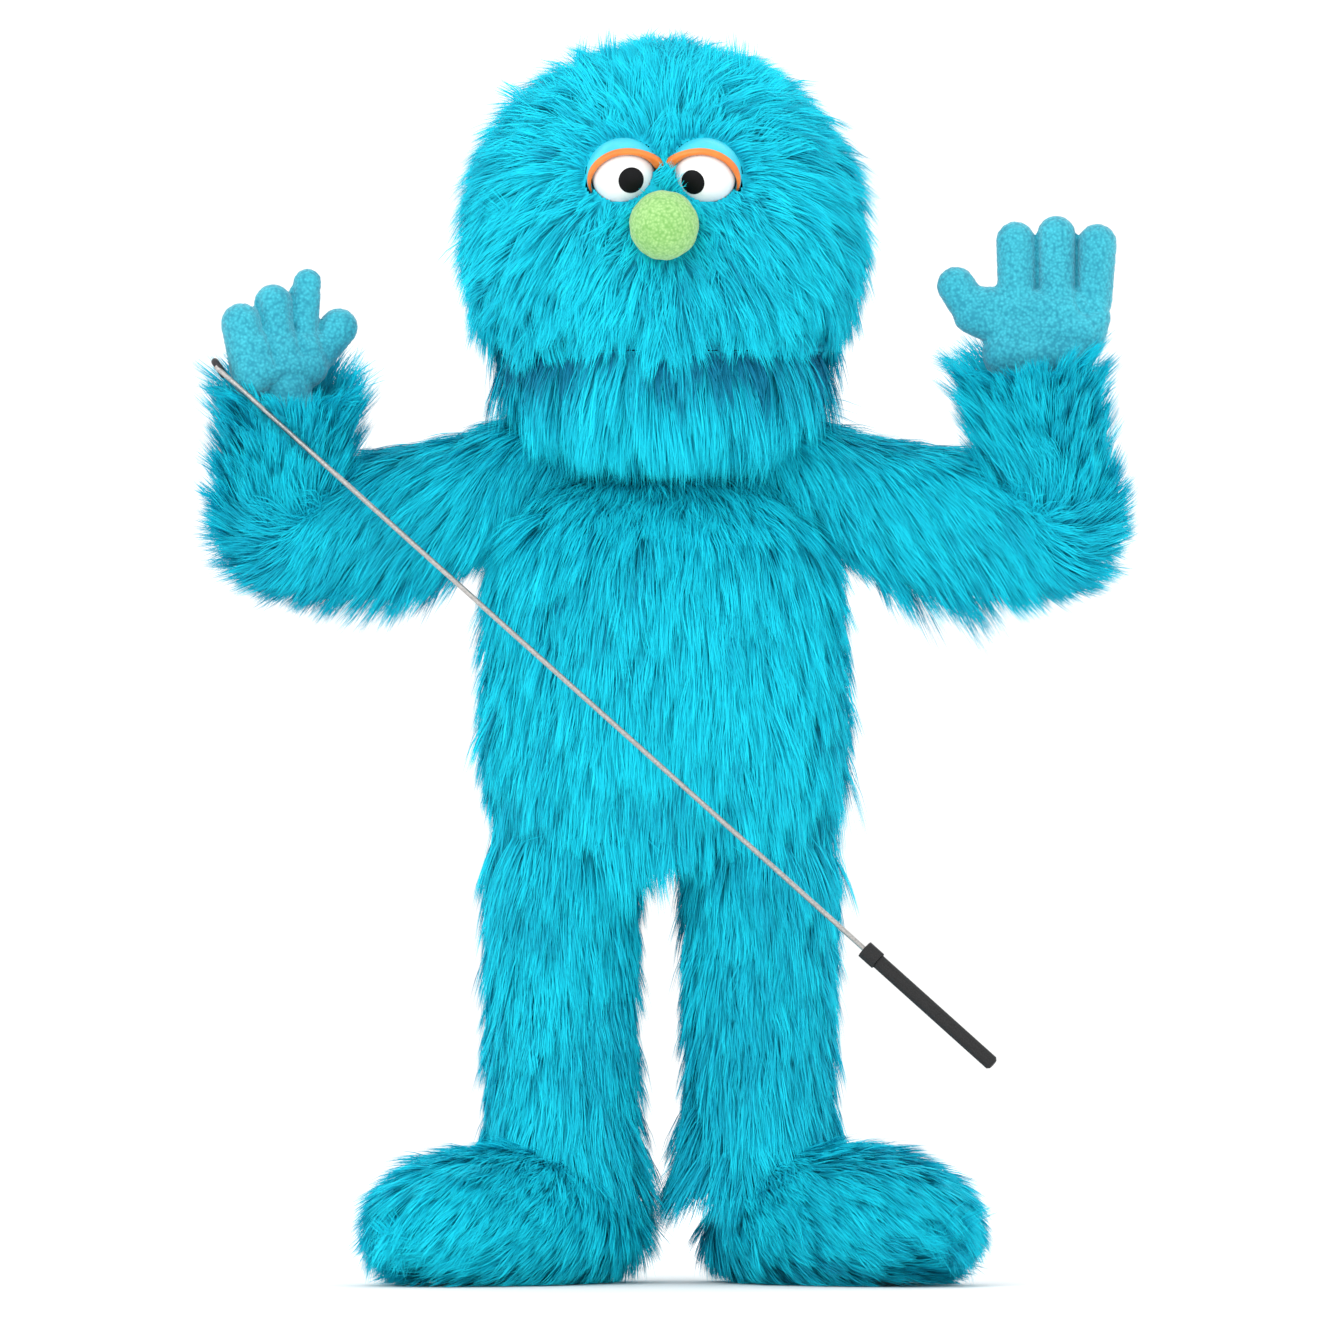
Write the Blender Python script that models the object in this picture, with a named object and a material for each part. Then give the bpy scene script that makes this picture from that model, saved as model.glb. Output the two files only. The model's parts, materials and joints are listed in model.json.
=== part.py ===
"""Moving-mouth hand puppet: a furry full-body figure with an arm rod.

Lengths are metres.  The figure is drawn in a standing frame: +Z up, the face
towards -Y, heights measured from the underside of the soles, x = 0 midway
between the arms.  The world origin is the middle of the hand entry in the
back, so every pivot hangs from an empty placed there.
"""
import math

import bmesh
import bpy
from mathutils import Matrix, Vector

# ---- driving dimensions ----------------------------------------------------
GAP = 0.0004            # play between pieces that touch
JOINT_GAP = 0.0025      # play round a limb's ball end
FUR_WALL = 0.008        # backing and packed pile of a fur cover
FOAM_WALL = 0.009       # foam sheet in the body
HEAD_FOAM_WALL = 0.014  # foam block in the head
LINING_WALL = 0.0015

ENTRY_HEIGHT = 0.345    # middle of the hand entry
ENTRY_HALF_WIDTH = 0.036
ENTRY_HALF_HEIGHT = 0.050
ENTRY_Y = 0.071         # the back of the body at that height
BINDING_THICK = 0.003   # elastic round the entry's edge
BINDING_Y = (0.050, 0.074)
THROUGH_BACK = (0.010, 0.120)  # y from inside the body to behind it

FAR = 0.4               # further than the figure reaches, for cutting boxes

MOUTH_HEIGHT = 0.573
JAW_AXIS_Y = 0.008
MOUTH_BACK_Y = 0.004
FELT_THICK = 0.0015
BOARD_THICK = 0.003
TAPE_THICK = 0.0015
TAPE_HALF = 0.060
TAPE_TALL = 0.006
MOUTH_MIDDLE_Y = -0.002
POCKET_WALL = 0.0015
# half width, front y, back y and height of the pockets
FINGER_POCKET = (0.038, -0.038, -0.004, 0.026)
THUMB_POCKET = (0.023, -0.056, -0.028, 0.019)
THUMB_ROOM = (0.024, -0.060, 0.0205)  # half width, front y and depth in the foam

NECK_Y = 0.034
NECK_RX = 0.050
NECK_RY = 0.028
NECK_BOTTOM = 0.4985
NECK_TOP = 0.530
NECK_WALL = 0.003
NECK_WAY = (NECK_Y + 0.004, 0.043, 0.022)  # middle y and half axes of the hole in the head
NECK_WAY_TOP = 0.600

EYE_X = 0.0247
EYE_Y = -0.090
EYE_HEIGHT = 0.680
EYE_R = 0.0195
LID_IN_R = 0.0204
LID_OUT_R = 0.0230
TRIM_OUT_R = 0.0238
LID_EDGE = 90           # degrees round from the lid's own axis
TRIM_EDGE = 102
PUPIL_HALF_ANGLE = 22
PUPIL_THICK = 0.0016
SOCKET_PLAY = 0.0014    # round the eyes and the nose, in the head
LID_CROWN = (0.12, 0.77, 0.63)  # the lid's axis, its x outwards
LOOK = {"right": (0.256, -0.949, -0.185), "left": (-0.385, -0.890, -0.246)}

NOSE_CENTRE = Vector((0, -0.118, 0.649))
NOSE_R = 0.0212
WASHER_Y = -0.0788
WASHER_R = (0.003, 0.012)
WASHER_THICK = 0.002

ARM_R = 0.025           # stuffing of the upper arm
ARM_COVER_R = 0.0325
FOREARM_R = 0.026
FOREARM_COVER_R = 0.0335
WRIST_R = 0.018
ELBOW_ROOM = 0.010      # slack cloth inside the bend
SLEEVE_PLAY = 0.001     # between a limb's stuffing and its sleeve
# where a sleeve starts from its joint, and how far it runs past its stuffing's core
UPPER_ARM_SLEEVE = (0.034, 0.008)
FOREARM_SLEEVE = (0.006, 0.012)
THIGH_SLEEVE = (0.004, 0.026)
SHIN_SLEEVE = (0.004, 0.032)
HAND_MESH = 0.0075      # voxel that melts a hand's capsules together

THIGH_R = 0.035
THIGH_COVER_R = 0.042
SHIN_R = 0.033
SHIN_COVER_R = 0.041
HIP_SOCKET_R = 0.0465
HIP_HEIGHT = 0.266
KNEE_HEIGHT = 0.176
ANKLE_HEIGHT = 0.116

FOOT_LENGTH = 0.098     # half axes of the foot's ellipsoid
FOOT_WIDTH = 0.060
FOOT_TALL = 0.044
FOOT_MIDDLE = 0.038     # height of its centre
FOOT_SPLAY = 41         # degrees that the toes turn outwards
SOLE_THICK = 0.0035
ANKLE_LOW = 0.050       # foot of the round way from the shin into the foot
ANKLE_WAY_R = 0.024
ANKLE_WAY_TALL = 0.080

ROD_R = 0.0016
GRIP_R = 0.0046
GRIP_LENGTH = 0.106
GRIP_COLLAR_R = 0.0057
COLLAR_LENGTH = 0.011
GRIP_EDGE = 0.0015      # rounding at the grip's end
GRIP_FLOOR = 0.004      # foam beyond the wire's end
WIRE_PLAY = 0.002
EYELET_IN_R = 0.005
EYELET_OUT_R = 0.0075
EYELET_LENGTH = 0.003

# places that differ between the figure's right (-x) and left (+x)
SHOULDER = {"right": Vector((-0.110, 0.002, 0.488)), "left": Vector((0.110, 0.002, 0.488))}
ELBOW = {"right": Vector((-0.234, -0.014, 0.464)), "left": Vector((0.240, -0.014, 0.464))}
WRIST = {"right": Vector((-0.231, -0.034, 0.541)), "left": Vector((0.224, -0.030, 0.558))}
HIP_X = {"right": -0.063, "left": 0.059}
FOOT_MIDDLE_X = {"right": -0.096, "left": 0.106}
FOOT_MIDDLE_Y = -0.028
ROD_TOP = Vector((-0.275, -0.058, 0.5635))
ROD_END = Vector((0.2005, -0.150, 0.137))

# capsules of the stuffed hands from the wrist: (out, forward, up) twice, radius;
# the left palm faces forward, the right one is turned three-quarters
HAND_BONES = {
    "left": [
        ((0.000, 0, 0.000), (0.006, 0, 0.012), WRIST_R),
        ((-0.006, 0, 0.028), (0.034, 0, 0.030), 0.0150),
        ((-0.004, 0, 0.042), (0.038, 0, 0.042), 0.0140),
        ((-0.007, 0, 0.050), (-0.008, 0, 0.083), 0.0122),
        ((0.017, 0, 0.052), (0.017, 0, 0.086), 0.0122),
        ((0.041, 0, 0.040), (0.042, 0, 0.081), 0.0120),
        ((-0.010, 0, 0.028), (-0.034, 0, 0.038), 0.0125),
        ((-0.034, 0, 0.038), (-0.044, 0, 0.055), 0.0120),
    ],
    "right": [
        ((0.000, 0, 0.000), (0.002, 0, 0.012), WRIST_R),
        ((0.020, 0.010, 0.022), (-0.010, -0.004, 0.024), 0.0150),
        ((0.020, 0.010, 0.036), (-0.012, -0.004, 0.036), 0.0135),
        ((0.024, 0.012, 0.024), (0.027, 0.012, 0.049), 0.0130),
        ((0.008, 0.004, 0.034), (0.009, 0.004, 0.062), 0.0120),
        ((-0.008, -0.003, 0.034), (-0.013, -0.005, 0.071), 0.0110),
        ((-0.010, -0.008, 0.022), (-0.031, -0.013, 0.047), 0.0120),
    ],
}

# (height, middle y, half width, half depth) of the soft outlines, base to crown
HEAD_OUTLINE = [
    (0.548, 0.004, 0.084, 0.078),
    (0.574, -0.002, 0.098, 0.093),
    (0.610, -0.004, 0.109, 0.101),
    (0.650, -0.004, 0.113, 0.102),
    (0.690, 0.000, 0.103, 0.095),
    (0.720, 0.004, 0.080, 0.075),
    (0.740, 0.006, 0.052, 0.050),
    (0.751, 0.006, 0.020, 0.020),
]
BODY_OUTLINE = [
    (0.279, 0.000, 0.091, 0.054),
    (0.300, 0.000, 0.102, 0.064),
    (0.345, 0.000, 0.104, 0.0715),
    (0.450, 0.002, 0.099, 0.067),
    (0.476, 0.010, 0.090, 0.058),
    (0.496, NECK_Y, 0.069, 0.047),
]
# the same for the jaw, top to base, with the straight back edge's y
JAW_OUTLINE = [
    (0.5725, -0.002, 0.097, 0.092, MOUTH_BACK_Y),
    (0.560, -0.004, 0.096, 0.090, 0.002),
    (0.546, -0.012, 0.084, 0.075, -0.008),
    (0.536, -0.022, 0.062, 0.053, -0.018),
    (0.530, -0.030, 0.036, 0.029, -0.026),
]

SIDES = ("right", "left")
OUT = {"right": -1, "left": 1}

# ---- materials ---------------------------------------------------------------
COLOURS = {
    "fur": ((0.01, 0.50, 0.66), 0.9, 0.0),
    "foam": ((0.85, 0.80, 0.62), 0.95, 0.0),
    "stuffing": ((0.90, 0.90, 0.88), 1.0, 0.0),
    "lining": ((0.03, 0.16, 0.20), 0.85, 0.0),
    "felt": ((0.10, 0.01, 0.015), 0.95, 0.0),
    "board": ((0.28, 0.22, 0.15), 0.8, 0.0),
    "elastic": ((0.02, 0.02, 0.02), 0.8, 0.0),
    "eye_white": ((0.90, 0.90, 0.88), 0.12, 0.0),
    "pupil": ((0.01, 0.01, 0.01), 0.1, 0.0),
    "lid": ((0.13, 0.62, 0.70), 0.4, 0.0),
    "lid_trim": ((0.90, 0.22, 0.03), 0.4, 0.0),
    "nose": ((0.34, 0.68, 0.22), 0.9, 0.0),
    "fleece": ((0.06, 0.52, 0.66), 0.95, 0.0),
    "sole": ((0.02, 0.30, 0.40), 0.9, 0.0),
    "washer": ((0.75, 0.75, 0.72), 0.4, 0.0),
    "eyelet": ((0.03, 0.03, 0.03), 0.4, 0.0),
    "steel": ((0.45, 0.44, 0.42), 0.35, 1.0),
    "grip": ((0.012, 0.012, 0.012), 0.75, 0.0),
}


def make_material(name):
    colour, roughness, metallic = COLOURS[name]
    material = bpy.data.materials.new(name)
    material.use_nodes = True
    shader = material.node_tree.nodes["Principled BSDF"]
    shader.inputs["Base Color"].default_value = (*colour, 1)
    shader.inputs["Roughness"].default_value = roughness
    shader.inputs["Metallic"].default_value = metallic
    material.diffuse_color = (*colour, 1)
    return material


# ---- pivots --------------------------------------------------------------------
ENTRY = Vector((0, ENTRY_Y, ENTRY_HEIGHT))
PIVOTS = {
    "torso": (None, ENTRY),
    "neck": ("torso", Vector((0, NECK_Y, NECK_BOTTOM))),
    "head": ("neck", Vector((0, NECK_Y, NECK_TOP))),
    "jaw": ("head", Vector((0, JAW_AXIS_Y, MOUTH_HEIGHT))),
}
for side in SIDES:
    hip = Vector((HIP_X[side], 0, HIP_HEIGHT))
    knee = Vector((HIP_X[side], 0, KNEE_HEIGHT))
    PIVOTS["upper_arm_" + side] = ("torso", SHOULDER[side])
    PIVOTS["forearm_" + side] = ("upper_arm_" + side, ELBOW[side])
    PIVOTS["hand_" + side] = ("forearm_" + side, WRIST[side])
    PIVOTS["thigh_" + side] = ("torso", hip)
    PIVOTS["shin_" + side] = ("thigh_" + side, knee)
PIVOTS["rod"] = ("hand_right", ROD_TOP)


def make_pivots():
    """One empty on each joint's axis, each under the body that carries it."""
    made = {}
    for body, (carrier, place) in PIVOTS.items():
        pivot = bpy.data.objects.new("pivot_" + body, None)
        bpy.context.collection.objects.link(pivot)
        if carrier:
            pivot.parent = made[carrier]
            pivot.location = place - PIVOTS[carrier][1]
        made[body] = pivot
    return made


# ---- shape helpers ---------------------------------------------------------------
def place(name, bm, body, material=None):
    """Turn a bmesh drawn in the standing frame into an object on a body's pivot."""
    bmesh.ops.recalc_face_normals(bm, faces=bm.faces)
    mesh = bpy.data.meshes.new(name)
    bm.to_mesh(mesh)
    bm.free()
    mesh.shade_smooth()
    mesh.set_sharp_from_angle(angle=math.radians(40))
    thing = bpy.data.objects.new(name, mesh)
    bpy.context.collection.objects.link(thing)
    thing.parent = pivots[body]
    thing.location = -PIVOTS[body][1]
    if material:
        mesh.materials.append(materials[material])
    else:
        thing.hide_render = True
        thing.display_type = "WIRE"
    return thing


def cut(thing, *cutters):
    """Take each cutter's volume out of a piece."""
    for cutter in cutters:
        modifier = thing.modifiers.new("cut_" + cutter.name, "BOOLEAN")
        modifier.operation = "DIFFERENCE"
        modifier.solver = "EXACT"
        modifier.object = cutter


def skin_rings(bm, rings):
    """Bridge point loops of equal length and close both ends."""
    loops = [[bm.verts.new(point) for point in ring] for ring in rings]
    count = len(loops[0])
    for low, high in zip(loops, loops[1:]):
        for i in range(count):
            j = (i + 1) % count
            bm.faces.new((low[i], low[j], high[j], high[i]))
    bm.faces.new(loops[0][::-1])
    bm.faces.new(loops[-1])


def oval_ring(height, middle_y, half_x, half_y, segments=20):
    return [
        Vector((
            half_x * math.cos(2 * math.pi * i / segments),
            middle_y + half_y * math.sin(2 * math.pi * i / segments),
            height,
        ))
        for i in range(segments)
    ]


def d_ring(height, middle_y, half_x, half_y, back_y, segments=14):
    """An oval's front half with a straight back edge."""
    front = []
    for i in range(segments + 1):
        turn = math.pi * i / segments
        x = half_x * math.cos(turn)
        y = middle_y - half_y * math.sin(turn)
        front.append(Vector((x, y, height)))
    return [Vector((half_x, back_y, height))] + front + [Vector((-half_x, back_y, height))]


def shrink(outline, by, ends=(1, 1)):
    """An outline drawn inwards by a wall; ends says which ends move as well."""
    first, last = outline[0][0], outline[-1][0]
    rise = math.copysign(by, last - first)
    new_first, new_last = first + rise * ends[0], last - rise * ends[1]
    rows = []
    for height, middle_y, half_x, half_y in outline:
        part = (height - first) / (last - first)
        new_height = new_first + part * (new_last - new_first)
        rows.append((new_height, middle_y, max(half_x - by, 0.004), max(half_y - by, 0.004)))
    return rows


def shrink_jaw(by):
    rows = []
    for height, middle_y, half_x, half_y, back_y in JAW_OUTLINE:
        part = (JAW_OUTLINE[0][0] - height) / (JAW_OUTLINE[0][0] - JAW_OUTLINE[-1][0])
        depth = max(half_y - 2 * by, 0.004)
        rows.append((height + by * part, middle_y - by, half_x - by, depth, back_y - by))
    return rows


def lofted(rows, ring=oval_ring):
    bm = bmesh.new()
    skin_rings(bm, [ring(*row) for row in rows])
    return bm


def turned(profile, start, direction, segments=16, closed=False):
    """Turn (radius, distance) points about an axis.

    An open profile begins and ends on the axis; a closed one makes a tube.
    """
    bm = bmesh.new()
    turn = Vector(direction).to_track_quat("Z", "Y").to_matrix()
    loops = []
    for radius, along in profile:
        if radius < 1e-7:
            loops.append([bm.verts.new(start + turn @ Vector((0, 0, along)))])
            continue
        loops.append([
            bm.verts.new(start + turn @ Vector((
                radius * math.cos(2 * math.pi * i / segments),
                radius * math.sin(2 * math.pi * i / segments),
                along,
            )))
            for i in range(segments)
        ])
    pairs = list(zip(loops, loops[1:]))
    if closed:
        pairs.append((loops[-1], loops[0]))
    for low, high in pairs:
        for i in range(segments):
            j = (i + 1) % segments
            corners = [low[i % len(low)], low[j % len(low)], high[j % len(high)], high[i % len(high)]]
            bm.faces.new(list(dict.fromkeys(corners)))
    return bm


def arc(radius, first, last, steps, centre=0.0):
    """Profile points on a circle about the axis point, angles in degrees from the axis."""
    points = []
    for i in range(steps + 1):
        angle = math.radians(first + (last - first) * i / steps)
        radial = radius * math.sin(angle)
        points.append((0.0 if radial < 1e-7 else radial, centre + radius * math.cos(angle)))
    return points


def ball(centre, radius, segments=12, steps=6):
    return turned(arc(radius, 180, 0, steps), centre, (0, 0, 1), segments)


def capsule(start, end, radius, segments=12, steps=3):
    axis = end - start
    profile = arc(radius, 180, 90, steps) + arc(radius, 90, 0, steps, axis.length)
    return turned(profile, start, axis, segments)


def tube(start, direction, inner, outer, first, last, segments=14):
    """A ring-shaped sleeve from first to last along an axis."""
    profile = [(outer, first), (outer, last), (inner, last), (inner, first)]
    return turned(profile, start, direction, segments, closed=True)


def box(low, high):
    bm = bmesh.new()
    bmesh.ops.create_cube(bm, size=1)
    low, high = Vector(low), Vector(high)
    bmesh.ops.scale(bm, vec=high - low, verts=bm.verts)
    bmesh.ops.translate(bm, vec=(low + high) / 2, verts=bm.verts)
    return bm


def oval_rod(centre, half_x, half_z, first_y, last_y, segments=16):
    """A straight bar of oval section lying along Y."""
    rings = []
    for y in (first_y, last_y):
        rings.append([
            Vector((
                centre.x + half_x * math.cos(2 * math.pi * i / segments),
                y,
                centre.z + half_z * math.sin(2 * math.pi * i / segments),
            ))
            for i in range(segments)
        ])
    bm = bmesh.new()
    skin_rings(bm, rings)
    return bm


# ---- body ----------------------------------------------------------------------------
def make_torso():
    """Fur, foam and lining, nested, open at the neck, the hand entry and the hips."""
    entry = place("cut_entry", oval_rod(ENTRY, ENTRY_HALF_WIDTH, ENTRY_HALF_HEIGHT, *THROUGH_BACK),
                  "torso")
    sockets = [entry]
    for side in SIDES:
        hip_centre = PIVOTS["thigh_" + side][1]
        sockets.append(place("cut_hip_" + side, ball(hip_centre, HIP_SOCKET_R), "torso"))
        sockets.append(place("cut_shoulder_" + side,
                             ball(SHOULDER[side], ARM_R + 2 * JOINT_GAP), "torso"))
    layers = [
        ("torso_fur_cover", "fur", 0.0, FUR_WALL),
        ("torso_foam_liner", "foam", FUR_WALL + 2 * GAP, FOAM_WALL),
        ("torso_lining", "lining", FUR_WALL + FOAM_WALL + 4 * GAP, LINING_WALL),
    ]
    for name, material, depth, wall in layers:
        piece = place(name, lofted(shrink(BODY_OUTLINE, depth, (1, 0))), "torso", material)
        hollow = shrink(BODY_OUTLINE, depth + wall, (1, 0))
        hollow.append((NECK_TOP, *hollow[-1][1:]))
        cut(piece, place("cut_" + name, lofted(hollow), "torso"), *sockets)

    binding = place("entry_binding",
                    oval_rod(ENTRY, ENTRY_HALF_WIDTH - GAP, ENTRY_HALF_HEIGHT - GAP, *BINDING_Y),
                    "torso", "elastic")
    way_in = place("cut_binding",
                   oval_rod(ENTRY, ENTRY_HALF_WIDTH - BINDING_THICK, ENTRY_HALF_HEIGHT - BINDING_THICK,
                            *THROUGH_BACK), "torso")
    cut(binding, way_in)


def make_neck():
    middle = [(NECK_BOTTOM, NECK_Y, NECK_RX, NECK_RY), (NECK_TOP, NECK_Y, NECK_RX, NECK_RY)]
    sleeve = place("neck_sleeve", lofted(middle), "neck", "lining")
    hollow = [
        (height + rise, NECK_Y, NECK_RX - NECK_WALL, NECK_RY - NECK_WALL)
        for (height, *_), rise in zip(middle, (-0.01, 0.01))
    ]
    cut(sleeve, place("cut_neck", lofted(hollow), "neck"))


# ---- head ----------------------------------------------------------------------------
def make_head():
    """The furry cover and the foam under it, open to the mouth and the neck."""
    low, split_y = (-FAR, -FAR, NECK_BOTTOM), JAW_AXIS_Y + 0.001
    mouth = place("cut_mouth", box(low, (FAR, split_y, MOUTH_HEIGHT + GAP)), "head")
    above_board = MOUTH_HEIGHT + FELT_THICK + BOARD_THICK + 4 * GAP
    mouth_foam = place("cut_mouth_foam", box(low, (FAR, split_y, above_board)), "head")
    neck_way = lofted([(height, *NECK_WAY) for height in (NECK_TOP, NECK_WAY_TOP)])
    inset = FUR_WALL + GAP
    half_x, half_y = JAW_OUTLINE[0][2] - inset, JAW_OUTLINE[0][3] - inset
    recess = lofted([(height, MOUTH_MIDDLE_Y, half_x, half_y, JAW_AXIS_Y)
                     for height in (MOUTH_HEIGHT - FUR_WALL, above_board)], d_ring)
    features = [place("cut_neck_way", neck_way, "head"), place("cut_recess", recess, "head")]
    for side in SIDES:
        eye = Vector((EYE_X * OUT[side], EYE_Y, EYE_HEIGHT))
        features.append(place("cut_eye_" + side, ball(eye, TRIM_OUT_R + SOCKET_PLAY, 16, 8), "head"))
    features.append(place("cut_nose", ball(NOSE_CENTRE, NOSE_R + SOCKET_PLAY), "head"))

    layers = [
        ("head_fur_cover", "fur", 0.0, FUR_WALL, mouth),
        ("head_foam_core", "foam", FUR_WALL + 2 * GAP, HEAD_FOAM_WALL, mouth_foam),
    ]
    for name, material, depth, wall, lips in layers:
        piece = place(name, lofted(shrink(HEAD_OUTLINE, depth)), "head", material)
        hollow = place("cut_" + name, lofted(shrink(HEAD_OUTLINE, depth + wall)), "head")
        cut(piece, hollow, lips, *features)


def pocket(name, body, half_x, first_y, last_y, low, high):
    """A flat elastic sleeve for the fingers or the thumb, open front and back."""
    sleeve = place(name, box((-half_x, first_y, low), (half_x, last_y, high)), body, "elastic")
    inner_x = half_x - POCKET_WALL
    inside = box((-inner_x, -FAR, low + POCKET_WALL), (inner_x, FAR, high - POCKET_WALL))
    cut(sleeve, place("cut_" + name, inside, body))


def make_mouth():
    """Two stiff boards faced with felt, and the pockets that the hand works them by."""
    inset = FUR_WALL + 2 * GAP
    half_x, half_y = JAW_OUTLINE[0][2] - inset, JAW_OUTLINE[0][3] - inset
    felt_low = MOUTH_HEIGHT + GAP
    board_low = felt_low + FELT_THICK + GAP
    plates = [
        ("upper_mouth_felt", "head", "felt", felt_low, FELT_THICK),
        ("upper_mouth_board", "head", "board", board_low, BOARD_THICK),
        ("lower_mouth_felt", "jaw", "felt", 2 * MOUTH_HEIGHT - felt_low - FELT_THICK, FELT_THICK),
        ("lower_mouth_board", "jaw", "board", 2 * MOUTH_HEIGHT - board_low - BOARD_THICK, BOARD_THICK),
    ]
    for name, body, material, low, thick in plates:
        rows = [(z, MOUTH_MIDDLE_Y, half_x, half_y, MOUTH_BACK_Y) for z in (low, low + thick)]
        place(name, lofted(rows, d_ring), body, material)
    hinge = box((-TAPE_HALF, MOUTH_BACK_Y + GAP, MOUTH_HEIGHT + GAP),
                (TAPE_HALF, MOUTH_BACK_Y + GAP + TAPE_THICK, MOUTH_HEIGHT + TAPE_TALL))
    place("mouth_hinge_tape", hinge, "head", "elastic")

    over_board = board_low + BOARD_THICK + GAP
    under_board = 2 * MOUTH_HEIGHT - over_board
    *flat, tall = FINGER_POCKET
    pocket("finger_pocket", "head", *flat, over_board, over_board + tall)
    *flat, tall = THUMB_POCKET
    pocket("thumb_pocket", "jaw", *flat, under_board - tall, under_board)


def make_jaw():
    cover = place("jaw_fur_cover", lofted(JAW_OUTLINE, d_ring), "jaw", "fur")
    hollow = shrink_jaw(FUR_WALL)
    behind = NECK_Y
    opened = [(MOUTH_HEIGHT + FUR_WALL, *hollow[0][1:4], behind)]
    opened += [(*row[:4], behind if i < 2 else row[4]) for i, row in enumerate(hollow)]
    cut(cover, place("cut_jaw_cover", lofted(opened, d_ring), "jaw"))

    board_base = MOUTH_HEIGHT - FELT_THICK - BOARD_THICK - 3 * GAP
    solid = [(min(row[0], board_base - GAP), *row[1:]) for row in shrink_jaw(FUR_WALL + 2 * GAP)]
    foam = place("jaw_foam", lofted(solid, d_ring), "jaw", "foam")
    half_x, front_y, depth = THUMB_ROOM
    thumb_room = box((-half_x, front_y, board_base - depth), (half_x, FAR, board_base + FUR_WALL))
    cut(foam, place("cut_thumb_room", thumb_room, "jaw"))


# ---- face ----------------------------------------------------------------------------
def make_eyes():
    for side in SIDES:
        out = OUT[side]
        centre = Vector((EYE_X * out, EYE_Y, EYE_HEIGHT))
        place("eye_white_" + side, ball(centre, EYE_R, 16, 8), "head", "eye_white")

        look = Vector(LOOK[side])
        dome = arc(EYE_R + GAP, 0, PUPIL_HALF_ANGLE, 2)
        dome += arc(EYE_R + PUPIL_THICK, PUPIL_HALF_ANGLE - 3, 0, 2)
        place("pupil_" + side, turned(dome, centre, look, 14), "head", "pupil")

        crown = Vector((LID_CROWN[0] * out, *LID_CROWN[1:]))
        lid = arc(LID_OUT_R, 0, LID_EDGE, 5) + arc(LID_IN_R, LID_EDGE, 0, 5)
        place("eyelid_" + side, turned(lid, centre, crown, 16), "head", "lid")
        trim = arc(TRIM_OUT_R, LID_EDGE + 1, TRIM_EDGE, 2) + arc(LID_IN_R, TRIM_EDGE, LID_EDGE + 1, 2)
        place("eyelid_trim_" + side, turned(trim, centre, crown, 20, closed=True), "head", "lid_trim")


def make_nose():
    place("nose", ball(NOSE_CENTRE, NOSE_R, 16, 8), "head", "nose")
    washer_place = Vector((0, WASHER_Y, NOSE_CENTRE.z))
    place("nose_washer", tube(washer_place, (0, 1, 0), *WASHER_R, 0, WASHER_THICK, 16), "head", "washer")


# ---- arms ----------------------------------------------------------------------------
def limb(part, side, start, end, radius, cover_radius, sleeve_ends):
    """A stuffed core with a ball at its joint, inside a fur sleeve."""
    axis = end - start
    cover_from, cover_to = sleeve_ends[0], axis.length + sleeve_ends[1]
    body = part + "_" + side
    place(part + "_stuffing_" + side, capsule(start, end, radius), body, "stuffing")
    sleeve = tube(start, axis, radius + SLEEVE_PLAY, cover_radius, cover_from, cover_to)
    place(part + "_fur_cover_" + side, sleeve, body, "fur")


def make_arms():
    for side in SIDES:
        shoulder, elbow, wrist = SHOULDER[side], ELBOW[side], WRIST[side]
        reach = (elbow - shoulder).length
        core = reach - ARM_R - FOREARM_COVER_R - ELBOW_ROOM
        core_end = shoulder + (elbow - shoulder).normalized() * core
        limb("upper_arm", side, shoulder, core_end, ARM_R, ARM_COVER_R, UPPER_ARM_SLEEVE)
        reach = (wrist - elbow).length
        core = reach - FOREARM_R - WRIST_R - JOINT_GAP
        core_end = elbow + (wrist - elbow).normalized() * core
        limb("forearm", side, elbow, core_end, FOREARM_R, FOREARM_COVER_R, FOREARM_SLEEVE)


def make_hands():
    """Each stuffed hand is its capsules melted into one skin."""
    for side in SIDES:
        bm = bmesh.new()
        for *ends, radius in HAND_BONES[side]:
            start, end = [WRIST[side] + Vector((x * OUT[side], -y, z)) for x, y, z in ends]
            piece = capsule(start, end, radius, 16, 4)
            scrap = bpy.data.meshes.new("scrap")
            piece.to_mesh(scrap)
            piece.free()
            bm.from_mesh(scrap)
            bpy.data.meshes.remove(scrap)
        hand = place("hand_" + side, bm, "hand_" + side, "fleece")
        melt = hand.modifiers.new("melt", "REMESH")
        melt.mode = "VOXEL"
        melt.voxel_size = HAND_MESH
        melt.use_smooth_shade = True


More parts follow.
